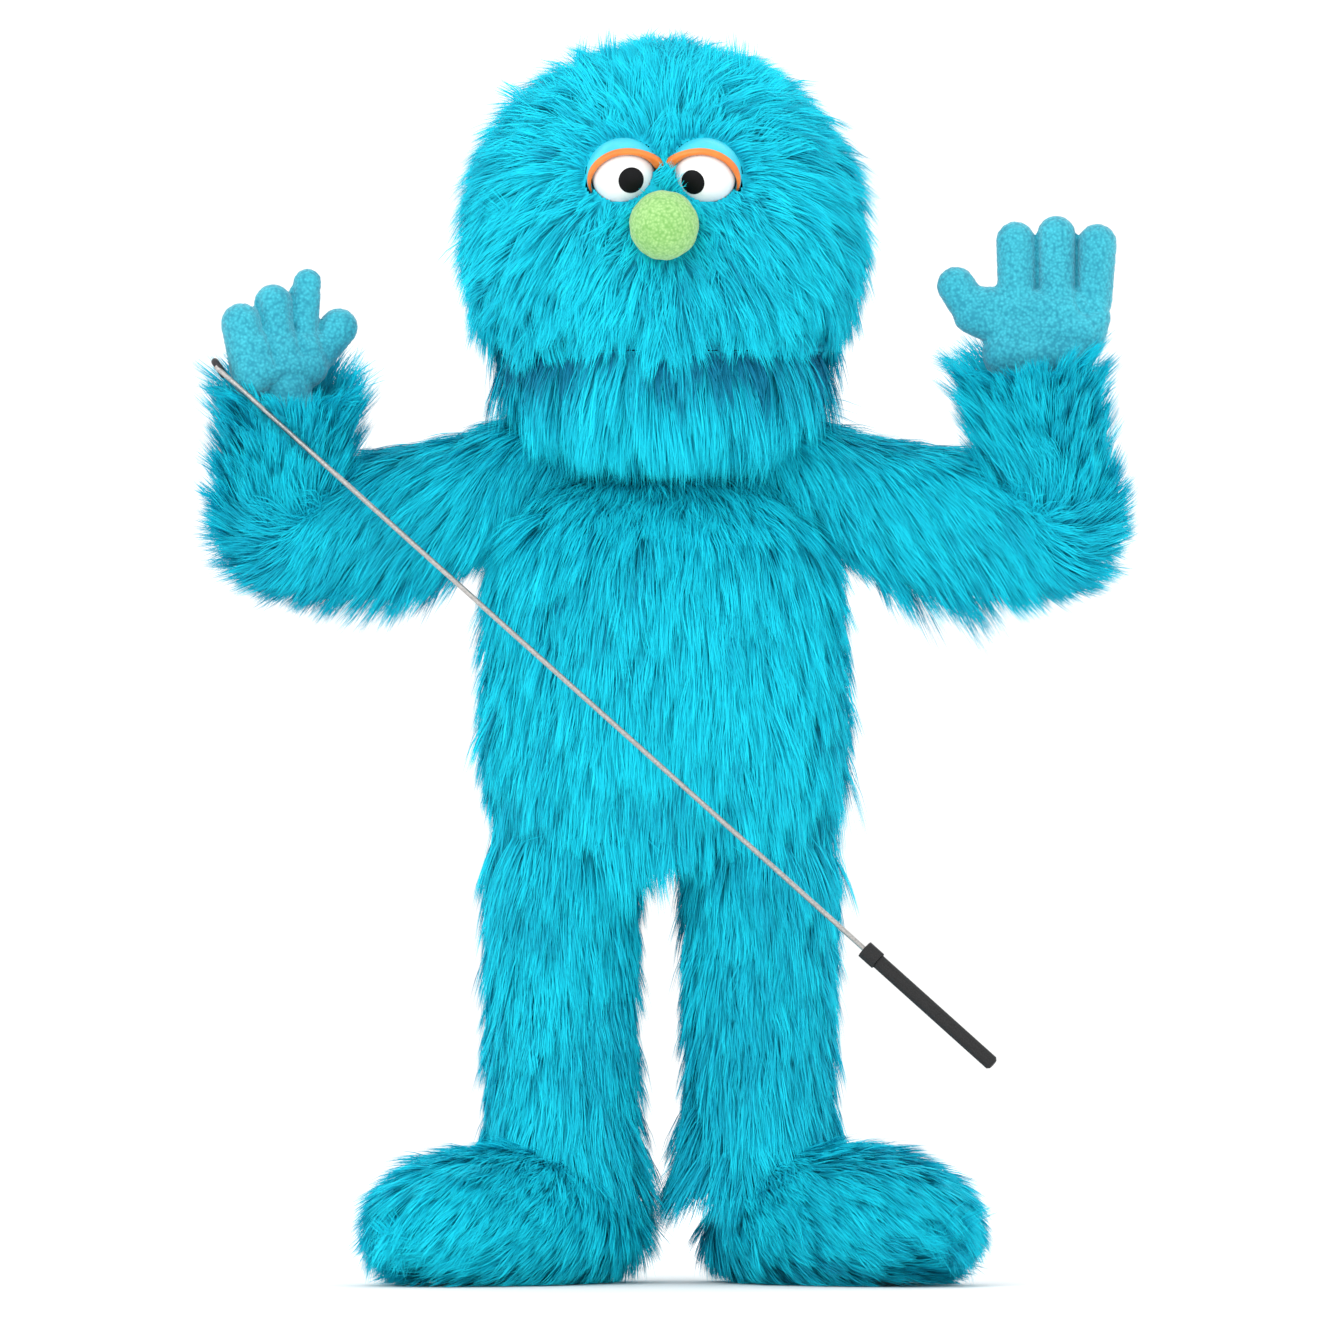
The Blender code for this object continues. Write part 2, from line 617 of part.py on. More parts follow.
def make_rod():
    """The arm rod pivots in an eyelet on the outer edge of the figure's right hand."""
    along = (ROD_END - ROD_TOP).normalized()
    length = (ROD_END - ROD_TOP).length
    eyelet = tube(ROD_TOP, along, EYELET_IN_R, EYELET_OUT_R, -EYELET_LENGTH / 2, EYELET_LENGTH / 2)
    place("rod_eyelet", eyelet, "hand_right", "eyelet")
    wire = length - GRIP_FLOOR - WIRE_PLAY
    place("arm_rod", turned([(0, 0), (ROD_R, 0), (ROD_R, wire), (0, wire)], ROD_TOP, along, 12),
          "rod", "steel")
    grip_start = length - GRIP_LENGTH
    collar_end = grip_start + COLLAR_LENGTH
    bore = ROD_R + GAP
    place("rod_collar", tube(ROD_TOP, along, bore, GRIP_COLLAR_R, grip_start, collar_end, 16),
          "rod", "grip")
    grip = [
        (0, length - GRIP_FLOOR), (bore, length - GRIP_FLOOR), (bore, collar_end + GAP),
        (GRIP_R, collar_end + GAP), (GRIP_R, length - GRIP_EDGE), (GRIP_R - GRIP_EDGE, length),
        (0, length),
    ]
    place("rod_grip", turned(grip, ROD_TOP, along, 16), "rod", "grip")


# ---- legs ----------------------------------------------------------------------------
def foot_ellipsoid(side, less, segments=18, steps=8):
    """The foot's rounded form, smaller all round by less."""
    bm = bmesh.new()
    bmesh.ops.create_uvsphere(bm, u_segments=segments, v_segments=steps, radius=1)
    size = Vector((FOOT_WIDTH - less, FOOT_LENGTH - less, FOOT_TALL - less))
    bmesh.ops.scale(bm, vec=size, verts=bm.verts)
    turn = Matrix.Rotation(math.radians(FOOT_SPLAY * OUT[side]), 3, "Z")
    bmesh.ops.rotate(bm, matrix=turn, verts=bm.verts)
    bmesh.ops.translate(bm, vec=(FOOT_MIDDLE_X[side], FOOT_MIDDLE_Y, FOOT_MIDDLE), verts=bm.verts)
    return bm


def make_legs():
    for side in SIDES:
        hip_x = HIP_X[side]
        hip, knee = Vector((hip_x, 0, HIP_HEIGHT)), Vector((hip_x, 0, KNEE_HEIGHT))
        thigh_end = Vector((hip_x, 0, KNEE_HEIGHT + THIGH_R + SHIN_R + JOINT_GAP))
        limb("thigh", side, hip, thigh_end, THIGH_R, THIGH_COVER_R, THIGH_SLEEVE)
        ankle = Vector((hip_x, 0, ANKLE_HEIGHT))
        limb("shin", side, knee, ankle, SHIN_R, SHIN_COVER_R, SHIN_SLEEVE)


def make_feet():
    """A fur cover over stuffing, closed below by a flat fabric sole."""
    for side in SIDES:
        body = "shin_" + side
        floor = place("cut_floor_" + side, box((-FAR, -FAR, -FAR), (FAR, FAR, SOLE_THICK + GAP)), body)
        way = [(0, 0), (ANKLE_WAY_R, 0), (ANKLE_WAY_R, ANKLE_WAY_TALL), (0, ANKLE_WAY_TALL)]
        way_foot = Vector((HIP_X[side], 0, ANKLE_LOW))
        collar = place("cut_ankle_" + side, turned(way, way_foot, (0, 0, 1)), body)
        ankle = Vector((HIP_X[side], 0, ANKLE_HEIGHT))
        knee = Vector((HIP_X[side], 0, KNEE_HEIGHT))
        clear = place("cut_shin_" + side, capsule(ankle, knee, SHIN_R + SLEEVE_PLAY), body)
        cover = place("foot_fur_cover_" + side, foot_ellipsoid(side, 0), body, "fur")
        cut(cover, place("cut_foot_" + side, foot_ellipsoid(side, FUR_WALL), body), floor, collar, clear)
        core = place("foot_stuffing_" + side, foot_ellipsoid(side, FUR_WALL + 2 * GAP), body, "stuffing")
        cut(core, floor)
        sole = place("sole_" + side, foot_ellipsoid(side, 0), body, "sole")
        above = place("cut_above_" + side, box((-FAR, -FAR, SOLE_THICK), (FAR, FAR, FAR)), body)
        under = place("cut_under_" + side, box((-FAR, -FAR, -FAR), (FAR, FAR, 0)), body)
        cut(sole, above, under)


for old in list(bpy.data.objects):
    bpy.data.objects.remove(old, do_unlink=True)
materials = {name: make_material(name) for name in COLOURS}
pivots = make_pivots()
make_torso()
make_neck()
make_head()
make_mouth()
make_jaw()
make_eyes()
make_nose()
make_arms()
make_hands()
make_rod()
make_legs()
make_feet()
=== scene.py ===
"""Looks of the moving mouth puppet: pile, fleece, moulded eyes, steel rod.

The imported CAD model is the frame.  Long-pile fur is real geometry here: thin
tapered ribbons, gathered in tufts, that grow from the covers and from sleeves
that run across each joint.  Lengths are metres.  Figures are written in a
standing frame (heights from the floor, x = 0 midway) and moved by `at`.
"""
import json
import math

import bmesh
import bpy
import numpy as np
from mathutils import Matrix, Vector, noise
from mathutils.kdtree import KDTree


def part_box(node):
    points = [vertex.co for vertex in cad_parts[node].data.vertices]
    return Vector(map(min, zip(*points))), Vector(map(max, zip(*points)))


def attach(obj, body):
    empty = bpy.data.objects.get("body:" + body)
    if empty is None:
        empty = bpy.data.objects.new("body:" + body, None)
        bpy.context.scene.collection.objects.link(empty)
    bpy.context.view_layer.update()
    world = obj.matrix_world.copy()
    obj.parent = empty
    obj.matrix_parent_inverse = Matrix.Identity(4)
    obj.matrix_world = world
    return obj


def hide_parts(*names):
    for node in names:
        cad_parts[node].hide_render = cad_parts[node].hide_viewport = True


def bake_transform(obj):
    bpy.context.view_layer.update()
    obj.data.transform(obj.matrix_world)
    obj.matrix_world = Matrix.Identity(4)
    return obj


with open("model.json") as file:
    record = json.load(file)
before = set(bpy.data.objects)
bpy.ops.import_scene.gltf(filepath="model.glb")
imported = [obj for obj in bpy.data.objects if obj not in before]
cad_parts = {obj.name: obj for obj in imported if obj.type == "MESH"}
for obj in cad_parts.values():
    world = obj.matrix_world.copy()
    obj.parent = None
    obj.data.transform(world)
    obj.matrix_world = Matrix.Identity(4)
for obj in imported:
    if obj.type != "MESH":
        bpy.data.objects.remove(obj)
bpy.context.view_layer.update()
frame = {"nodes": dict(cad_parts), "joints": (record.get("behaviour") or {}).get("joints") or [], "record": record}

NODES = frame["nodes"]
JOINTS = {joint["name"]: np.array(joint["pos_m"]) for joint in frame["joints"]}
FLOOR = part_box("sole_right")[0].z
ENTRY_Y = 0.071          # back of the body in the standing frame
SHIFT = np.array((0.0, -ENTRY_Y, FLOOR))
SIDES = {"right": -1, "left": 1}

# outlines that the pile grows from: rows of (height, middle's depth, half width, half depth)
FUR_BODY = (
    (0.277, 0.000, 0.020, 0.014),
    (0.279, 0.000, 0.091, 0.054),
    (0.300, 0.000, 0.102, 0.064),
    (0.345, 0.000, 0.104, 0.0715),
    (0.450, 0.002, 0.099, 0.067),
    (0.476, 0.010, 0.090, 0.058),
    (0.496, 0.034, 0.069, 0.047),
)
FUR_HEAD = (
    (0.546, 0.004, 0.060, 0.054),
    (0.548, 0.004, 0.084, 0.078),
    (0.574, -0.002, 0.098, 0.093),
    (0.610, -0.004, 0.109, 0.101),
    (0.650, -0.004, 0.113, 0.102),
    (0.690, 0.000, 0.103, 0.095),
    (0.720, 0.004, 0.080, 0.075),
    (0.740, 0.006, 0.052, 0.050),
    (0.751, 0.006, 0.020, 0.020),
    (0.753, 0.006, 0.001, 0.001),
)
FUR_JAW = (
    (0.5725, -0.002, 0.097, 0.092),
    (0.560, -0.004, 0.096, 0.090),
    (0.546, -0.012, 0.084, 0.075),
    (0.536, -0.022, 0.062, 0.053),
    (0.530, -0.030, 0.036, 0.029),
    (0.528, -0.030, 0.004, 0.003),
)
FUR_NECK = (
    (0.494, 0.033, 0.060, 0.040),
    (0.520, 0.028, 0.060, 0.042),
    (0.548, 0.018, 0.062, 0.046),
)
MOUTH_HEIGHT = 0.573
JAW_BACK = 0.006
FACE_HEIGHT = 0.664      # the head's pile parts from here
BODY_FOOT = 0.284        # below this height the thighs take the body's place
ENTRY_HALF = (0.039, 0.053)
ARM_COVER_R = 0.0325
FOREARM_COVER_R = 0.0335
THIGH_COVER_R = 0.042
SHIN_COVER_R = 0.041
FOOT_HALF = (0.060, 0.098, 0.044)       # across, along, up
FOOT_SPLAY = math.radians(41)
FOOT_HEIGHT = 0.038
EYE_R = 0.0195
LID_IN_R = 0.0204
LID_OUT_R = 0.0230
TRIM_OUT_R = 0.0238
LID_CROWN = (0.12, 0.77, 0.63)
LOOK = {"right": (0.256, -0.949, -0.185), "left": (-0.385, -0.890, -0.246)}
LID_EDGE = 96            # degrees from the crown, like the rim's middle line
RIM_ANGLE = 101
RIM_HALF = 5.5
RIM_REACH = 104          # degrees either side of the front
RIM_INNER_REACH = 90
RIM_INNER = 0.0052       # the rims stand wider where they meet over the nose
PUPIL = {"right": 24.0, "left": 22.8}   # half angle, degrees
NOSE_R = 0.0212
ROD_TOP = (-0.275, -0.058, 0.5635)
ROD_END = (0.2005, -0.150, 0.137)
YOKE = 0.062             # how far the shoulder's sleeve reaches in towards the neck

STEPS = 3                # segments of a ribbon
PILE = 0.034             # length of most ribbons
HALF_WIDTH = 0.00032
SHAPE = np.array((0.85, 1.0, 0.7))      # width at each step before the tip, as a share of the widest
PER_TUFT = 22
CLUMP = 0.36             # how far a ribbon's tip is drawn to its tuft's guide
LOCKS = 48               # how finely the pile along the lip parts into locks, and how big the patches of painted crease shade are
LIP_BAND = 0.034         # height over the mouth of the pile that hangs across it
REACH = ((0, 1, 0.285, 0.302), (0, -1, 0.285, 0.304), (1, 1, 0.033, 0.0435))    # axis, sign, soft, hard
OVER_FLOOR = 0.0004
PAINTED_LIMB_SHADE = {                # painted shade on each limb's pile, one side darker than the other as the light falls; a negative amount is painted light
    "arm": {"right": 0.12, "left": 0.0},
    "leg": {"right": 0.10, "left": 0.18},
    "foot": {"right": -0.12, "left": 0.10},
}
NOISE_SEED = 1           # Blender draws a new one for each run unless it is set
SEEDS = {"body": 11, "head": 23, "jaw": 31, "neck": 37, "arm": 41, "leg": 61, "foot": 81}

HAND_VOXEL = 0.0015
HAND_PRESSURE = 2.0
HAND_FRAMES = 16
HAND_CAP = 0.0008        # how far the pressure may move the skin
SEAM_DEPTH = 0.0030
SEAM_HALF_WIDTH = 0.0019

noise.seed_set(NOISE_SEED)


def at(x, y, z):
    """A point of the standing frame, in the row frame."""
    return np.array((x, y, z)) + SHIFT


def unit(v):
    return v / np.maximum(np.linalg.norm(v, axis=-1, keepdims=True), 1e-9)


def rise(value, start, span):
    """How far value has gone from start over span, held between 0 and 1; a negative span runs down."""
    return np.clip((value - start) / span, 0, 1)


# ---- materials ----
def material(name, roughness=0.7, **constants):
    """An empty Principled material, with what is the same all over it set on its own sockets."""
    made = bpy.data.materials.new(name)
    made.use_nodes = True
    shader = made.node_tree.nodes["Principled BSDF"]
    shader.inputs["Roughness"].default_value = roughness
    for socket, value in constants.items():
        shader.inputs[socket.replace("_", " ")].default_value = value
    return made, made.node_tree, shader


def node(tree, kind, **settings):
    """A shader node, with its sockets or its own settings given by name."""
    made = tree.nodes.new(kind)
    for key, value in settings.items():
        if key in made.inputs:
            made.inputs[key].default_value = value
        else:
            setattr(made, key, value)
    return made


def ramp(tree, factor, stops):
    """A colour ramp over factor, from (place, colour) stops."""
    made = tree.nodes.new("ShaderNodeValToRGB")
    elements = made.color_ramp.elements
    while len(elements) < len(stops):
        elements.new(0.5)
    for element, (place, colour) in zip(elements, stops):
        element.position = place
        element.color = (*colour, 1)
    tree.links.new(factor, made.inputs["Fac"])
    return made.outputs["Color"]


def bump(tree, shader, height, strength, distance):
    made = node(tree, "ShaderNodeBump", Strength=strength, Distance=distance)
    tree.links.new(height, made.inputs["Height"])
    tree.links.new(made.outputs["Normal"], shader.inputs["Normal"])


def fur_material():
    """Pile: darker at the root, paler at the tip, each ribbon with a tone of its own."""
    made, tree, shader = material("fur_pile", 0.72, Specular_IOR_Level=0.16)
    uv = node(tree, "ShaderNodeUVMap", uv_map="OFBake")
    parts = node(tree, "ShaderNodeSeparateXYZ")
    tree.links.new(uv.outputs["UV"], parts.inputs[0])
    along = ramp(tree, parts.outputs["Y"], (
        (0.0, (0.003, 0.400, 0.540)), (0.30, (0.005, 0.570, 0.730)),
        (0.70, (0.006, 0.680, 0.840)), (1.0, (0.010, 0.760, 0.910))))
    # each ribbon's own tone; lowered tones also carry painted shade (the mouth's crease, the limbs' undersides and
    # one side of each limb), raised ones painted light
    tone = ramp(tree, parts.outputs["X"], (
        (0.0, (0.26, 0.30, 0.42)), (0.16, (0.64, 0.69, 0.76)), (0.45, (0.92, 0.96, 0.97)),
        (1.0, (1.25, 1.12, 1.10))))
    mix = node(tree, "ShaderNodeMix", data_type="RGBA", blend_type="MULTIPLY")
    factor, first, second, mixed = mix.inputs[0], mix.inputs[6], mix.inputs[7], mix.outputs[2]
    factor.default_value = 1.0
    tree.links.new(along, first)
    tree.links.new(tone, second)
    tree.links.new(mixed, shader.inputs["Base Color"])
    return made


def spotted(name, dark, light, scale, roughness, strength, distance, detail=3.0, spread=0.18, **constants):
    """A plain matter with a fine mottled colour, and a relief of that strength and distance."""
    made, tree, shader = material(name, roughness, **constants)
    place = node(tree, "ShaderNodeTexCoord")
    grain = node(tree, "ShaderNodeTexNoise", Scale=scale, Detail=detail)
    tree.links.new(place.outputs["Object"], grain.inputs["Vector"])
    colour = ramp(tree, grain.outputs["Fac"], ((0.5 - spread, dark), (0.5 + spread, light)))
    tree.links.new(colour, shader.inputs["Base Color"])
    bump(tree, shader, grain.outputs["Fac"], strength, distance)
    return made


def pilled(name, dark, light, size):
    """Fleece worn into small pills: rounded cells in relief, with painted shade between them and their tops
    painted paler, over a mottled tone.
    """
    made, tree, shader = material(name, 0.9, Sheen_Weight=0.25, Sheen_Roughness=0.5)
    place = node(tree, "ShaderNodeTexCoord")
    cells = node(tree, "ShaderNodeTexVoronoi", Scale=1 / size, Randomness=1.0, feature="SMOOTH_F1")
    clouds = node(tree, "ShaderNodeTexNoise", Scale=45.0, Detail=4.0)
    for texture in (cells, clouds):
        tree.links.new(place.outputs["Object"], texture.inputs["Vector"])
    added = node(tree, "ShaderNodeMath", operation="MULTIPLY_ADD")
    added.inputs[1].default_value = 0.55
    tree.links.new(clouds.outputs["Fac"], added.inputs[0])
    tree.links.new(cells.outputs["Distance"], added.inputs[2])
    # painted shade: pale on the pills' tops, dark between them, mixed with the clouds' mottled tone
    colour = ramp(tree, added.outputs[0], ((0.25, light), (0.95, dark)))
    tree.links.new(colour, shader.inputs["Base Color"])
    turned = node(tree, "ShaderNodeMath", operation="SUBTRACT")
    turned.inputs[0].default_value = 1.0
    tree.links.new(cells.outputs["Distance"], turned.inputs[1])
    bump(tree, shader, turned.outputs[0], 0.5, 0.0006)
    return made


def woven(name, dark, light, threads):
    """Woven cloth or elastic: two crossed waves."""
    made, tree, shader = material(name, 0.85, Sheen_Weight=0.1)
    place = node(tree, "ShaderNodeTexCoord")
    waves = []
    for way in ("X", "Z"):
        wave = node(tree, "ShaderNodeTexWave", Scale=threads, bands_direction=way)
        tree.links.new(place.outputs["Object"], wave.inputs["Vector"])
        waves.append(wave.outputs["Fac"])
    crossed = node(tree, "ShaderNodeMath", operation="MULTIPLY")
    tree.links.new(waves[0], crossed.inputs[0])
    tree.links.new(waves[1], crossed.inputs[1])
    colour = ramp(tree, crossed.outputs[0], ((0.0, dark), (1.0, light)))
    tree.links.new(colour, shader.inputs["Base Color"])
    bump(tree, shader, crossed.outputs[0], 0.4, 0.0003)
    return made


MATERIALS = {
    "fur": fur_material(),
    "foam": spotted("foam", (0.62, 0.55, 0.36), (0.86, 0.80, 0.60), 900, 0.95, 0.5, 0.0006),
    "stuffing": spotted("stuffing", (0.72, 0.72, 0.70), (0.92, 0.92, 0.90), 300, 0.95, 0.5, 0.001),
    "lining": woven("lining", (0.004, 0.05, 0.07), (0.010, 0.12, 0.16), 900),
    "felt": spotted("mouth_felt", (0.035, 0.002, 0.004), (0.10, 0.006, 0.012), 700, 0.95, 0.4, 0.0004),
    "board": spotted("board", (0.20, 0.14, 0.08), (0.34, 0.26, 0.17), 500, 0.8, 0.2, 0.0003),
    "elastic": woven("elastic", (0.004, 0.004, 0.004), (0.03, 0.03, 0.03), 1500),
    "eye_white": spotted("eye_white", (0.82, 0.83, 0.83), (0.90, 0.90, 0.90), 60, 0.14, 0.02, 0.0002,
                         Coat_Weight=0.4, Coat_Roughness=0.08),
    "pupil": spotted("pupil", (0.002, 0.002, 0.003), (0.006, 0.006, 0.007), 80, 0.45, 0.01, 0.0001,
                     Specular_IOR_Level=0.12),
    "lid": spotted("eyelid", (0.035, 0.54, 0.70), (0.055, 0.64, 0.80), 90, 0.40, 0.05, 0.0002),
    "lid_trim": spotted("eyelid_trim", (0.76, 0.17, 0.020), (0.86, 0.24, 0.034), 90, 0.42, 0.05, 0.0002),
    # the fleeces' dark colour is painted shade between the pills, their light colour the pills' painted tops
    "nose": pilled("nose_fleece", (0.19, 0.44, 0.11), (0.42, 0.70, 0.27), 0.0016),
    "fleece": pilled("hand_fleece", (0.012, 0.27, 0.38), (0.050, 0.54, 0.66), 0.0017),
    "sole": woven("sole_cloth", (0.004, 0.16, 0.22), (0.012, 0.30, 0.40), 700),
    "washer": spotted("washer", (0.60, 0.60, 0.57), (0.74, 0.74, 0.71), 200, 0.4, 0.05, 0.0002),
    "eyelet": spotted("eyelet", (0.008, 0.008, 0.009), (0.02, 0.02, 0.022), 300, 0.5, 0.1, 0.0002),
    "steel": spotted("rod_steel", (0.30, 0.29, 0.28), (0.52, 0.50, 0.48), 900, 0.42, 0.12, 0.0002,
                     detail=2.0, spread=0.20, Metallic=1.0),
    "grip": spotted("grip_foam", (0.004, 0.004, 0.004), (0.016, 0.016, 0.017), 1400, 0.8, 0.5, 0.0005),
}
SLOT = {part["node"]: part["material_slot"] for part in frame["record"]["subparts"]}


def dress_cad():
    """Every CAD node takes its slot's material; the ones that pieces replace are hidden later."""
    for name, thing in NODES.items():
        thing.data.materials.clear()
        thing.data.materials.append(MATERIALS[SLOT[name]])


# ---- meshes from arrays ----
def mesh_object(name, points, sizes, corners, uv, slot):
    """An object from flat arrays: points, each face's corner count, corners and their UVs."""
    mesh = bpy.data.meshes.new(name)
    mesh.vertices.add(len(points))
    mesh.vertices.foreach_set("co", points.astype(np.float32).ravel())
    mesh.loops.add(len(corners))
    mesh.loops.foreach_set("vertex_index", corners.astype(np.int32))
    mesh.polygons.add(len(sizes))
    mesh.polygons.foreach_set("loop_start", np.concatenate(([0], np.cumsum(sizes)[:-1])).astype(np.int32))
    mesh.polygons.foreach_set("use_smooth", np.ones(len(sizes), bool))
    layer = mesh.uv_layers.new(name="OFBake")
    layer.data.foreach_set("uv", uv.astype(np.float32).ravel())
    mesh.update(calc_edges=True)
    return placed(name, mesh, slot)


def placed(name, mesh, slot):
    """A mesh put into the scene as an object, with its slot's material."""
    mesh.materials.append(MATERIALS[slot])
    made = bpy.data.objects.new(name, mesh)
    bpy.context.scene.collection.objects.link(made)
    return made


def array_of(vertices, attribute):
    """A mesh's vertex attribute as (n, 3)."""
    values = np.empty(len(vertices) * 3)
    vertices.foreach_get(attribute, values)
    return values.reshape(-1, 3)


def grid_of(rings):
    """Points and quads of a stack of rings."""
    rows, around = rings.shape[:2]
    index = np.arange(rows * around).reshape(rows, around)
    right = np.roll(index, -1, axis=1)
    quads = np.stack((index[:-1], right[:-1], right[1:], index[1:]), -1).reshape(-1, 4)
    return rings.reshape(-1, 3), quads


def smooth_rows(rows, count):
    """Catmull-Rom through the rows, evenly in row number."""
    rows = np.array(rows, float)
    padded = np.vstack((2 * rows[0] - rows[1], rows, 2 * rows[-1] - rows[-2]))
    t = np.linspace(0, len(rows) - 1, count)
    i = np.minimum(t.astype(int), len(rows) - 2)
    f = (t - i)[:, None]
    a, b, c, d = (padded[i + k] for k in range(4))
    square, cube = 2 * a - 5 * b + 4 * c - d, 3 * b - a - 3 * c + d
    return 0.5 * (2 * b + (c - a) * f + square * f ** 2 + cube * f ** 3)


def oval_rings(rows, count=48, around=72):
    """Level oval rings of an outline, in the row frame."""
    rows = smooth_rows(rows, count)
    turn = np.linspace(0, math.tau, around, endpoint=False)
    rings = np.empty((count, around, 3))
    rings[..., 0] = rows[:, 2, None] * np.cos(turn)
    rings[..., 1] = rows[:, 1, None] + rows[:, 3, None] * np.sin(turn)
    rings[..., 2] = rows[:, 0, None]
    return rings + SHIFT


def tube_rings(line, radii, around=40):
    """Rings square to a line of points, carried along without twist."""
    line = np.array(line)
    heading = unit(np.gradient(line, axis=0))
    side = unit(np.cross(heading[0], (0.0, 1.0, 0.0)))
    turn = np.linspace(0, math.tau, around, endpoint=False)[:, None]
    rings = []
    for centre, ahead, radius in zip(line, heading, radii):
        side = unit(side - ahead * (side @ ahead))
        up = np.cross(side, ahead)
        rings.append(centre + radius * (np.cos(turn) * side - np.sin(turn) * up))
    return np.array(rings)


def rounded(points, bend, step=0.004):
    """A line through points, its corners rounded off over `bend` on each side, and the run at each point."""
    points = [np.array(p, float) for p in points]
    line = [points[0]]
    for before, corner, after in zip(points, points[1:], points[2:]):
        a = corner + unit(before - corner) * bend
        b = corner + unit(after - corner) * bend
        for t in np.linspace(0, 1, 10):
            line.append((1 - t) ** 2 * a + 2 * t * (1 - t) * corner + t ** 2 * b)
    line.append(points[-1])
    line = np.array(line)
    far = np.concatenate(([0], np.cumsum(np.linalg.norm(np.diff(line, axis=0), axis=1))))
    steps = np.linspace(0, far[-1], int(far[-1] / step) + 2)
    return np.stack([np.interp(steps, far, line[:, k]) for k in range(3)], 1), steps


def scatter(rings, density, rng):
    """Points spread evenly over a stack of rings, with outward normals and their row numbers."""
    points, quads = grid_of(rings)
    a, b, c, d = (points[quads[:, k]] for k in range(4))
    cross = np.cross(c - a, d - b)
    area = 0.5 * np.linalg.norm(cross, axis=1)
    count = int(area.sum() * density)
    chosen = rng.choice(len(quads), count, p=area / area.sum())
    u, v = rng.random((2, count, 1))
    a, b, c, d = a[chosen], b[chosen], c[chosen], d[chosen]
    where = (a * (1 - u) + b * u) * (1 - v) + (d * (1 - u) + c * u) * v
    across = np.roll(rings, -1, 1) - np.roll(rings, 1, 1)
    along = np.gradient(rings, axis=0)
    normals = unit(np.cross(across, along)).reshape(-1, 3)
    weights = ((1 - u) * (1 - v), u * (1 - v), u * v, (1 - u) * v)
    normal = unit(sum(w * normals[quads[chosen, k]] for k, w in enumerate(weights)))
    row = chosen // rings.shape[1] + v[:, 0]
    return where, normal, row


# ---- fur ----
def ribbons(roots, normals, flow, length, lift, rng, droop, rough=0.10):
    """The ribbons' points (n, 2 * STEPS + 1, 3) and tones (n): gathered into tufts by their guides.

    They lie along flow at lift degrees off the cloth, and droop bends their ends down.
    """
    n = len(roots)
    guides = rng.choice(n, max(2, n // PER_TUFT), replace=False)
    tree = KDTree(len(guides))
    for i, g in enumerate(guides):
        tree.insert(roots[g], i)
    tree.balance()
    owner = np.array([tree.find(p)[1] for p in roots])
    tuft = np.array([noise.noise_vector(Vector(roots[g]) * 24) for g in guides]) * 0.26
    tuft += rng.normal(0, rough, (len(guides), 3))
    stretch = rng.normal(1, 0.11, len(guides))
    rise = rng.normal(0, 7, len(guides))
    shade = np.clip(rng.normal(0.5, 0.12, len(guides)), 0, 1)
    shade += np.array([noise.noise(Vector(roots[g]) * 19) for g in guides]) * 0.26

    flow = unit(unit(flow) + tuft[owner] + rng.normal(0, 0.10, (n, 3)))
    lying = unit(flow - normals * (flow * normals).sum(1, keepdims=True))
    angle = np.radians(np.clip(lift + rise[owner] + rng.normal(0, 4, n), 4, 80))[:, None]
    length = length * stretch[owner] * rng.normal(1, 0.09, n)
    start = lying * np.cos(angle) + normals * np.sin(angle)
    down = np.array((0, 0, -1.0))
    end = unit(lying * np.cos(angle) + normals * np.sin(angle) * 0.55 + down * droop)
    path = np.empty((n, STEPS + 1, 3))
    path[:, 0] = roots
    for k in range(STEPS):
        t = (k + 0.5) / STEPS
        path[:, k + 1] = path[:, k] + unit(start * (1 - t) + end * t) * (length / STEPS)[:, None]
    own = path.copy()
    for k in range(1, STEPS + 1):
        pull = CLUMP * (k / STEPS) ** 1.3
        path[:, k] = own[:, k] * (1 - pull) + own[guides][owner][:, k] * pull
    side = unit(np.cross(end, normals))
    phase = rng.random(n) * math.tau
    for k in range(1, STEPS + 1):
        sway = 0.0016 * (k / STEPS) * np.sin(phase + 2.6 * k / STEPS)
        path[:, k] += side * sway[:, None]

    heading = unit(np.gradient(path, axis=1))
    flat = unit(np.cross(heading, normals[:, None]))
    twist = rng.uniform(-0.75, 0.75, (n, 1, 1))
    flat = flat * np.cos(twist) + np.cross(heading, flat) * np.sin(twist)
    half = (SHAPE * HALF_WIDTH)[None, :, None] * rng.uniform(0.75, 1.25, (n, 1, 1))
    out = np.empty((n, 2 * STEPS + 1, 3))
    out[:, 0:-1:2] = path[:, :-1] - flat[:, :-1] * half
    out[:, 1:-1:2] = path[:, :-1] + flat[:, :-1] * half
    out[:, -1] = path[:, -1]
    return out, np.clip(shade[owner] + rng.normal(0, 0.10, n), 0.03, 0.97)


def patchy(points, scale):
    """Smooth noise at each point, mostly within -0.5 to 0.5."""
    return np.array([noise.noise(Vector(p) * scale) for p in points])


def reined_in(blades):
    """The longest hairs at the sides and the back, drawn in short of REACH."""
    blades = blades.copy()
    for axis, sign, soft, hard in REACH:
        value = blades[..., axis] * sign
        room = hard - soft
        bent = soft + room * (1 - np.exp(-np.maximum(value - soft, 0) / room))
        blades[..., axis] = np.where(value > soft, bent, value) * sign
    return blades


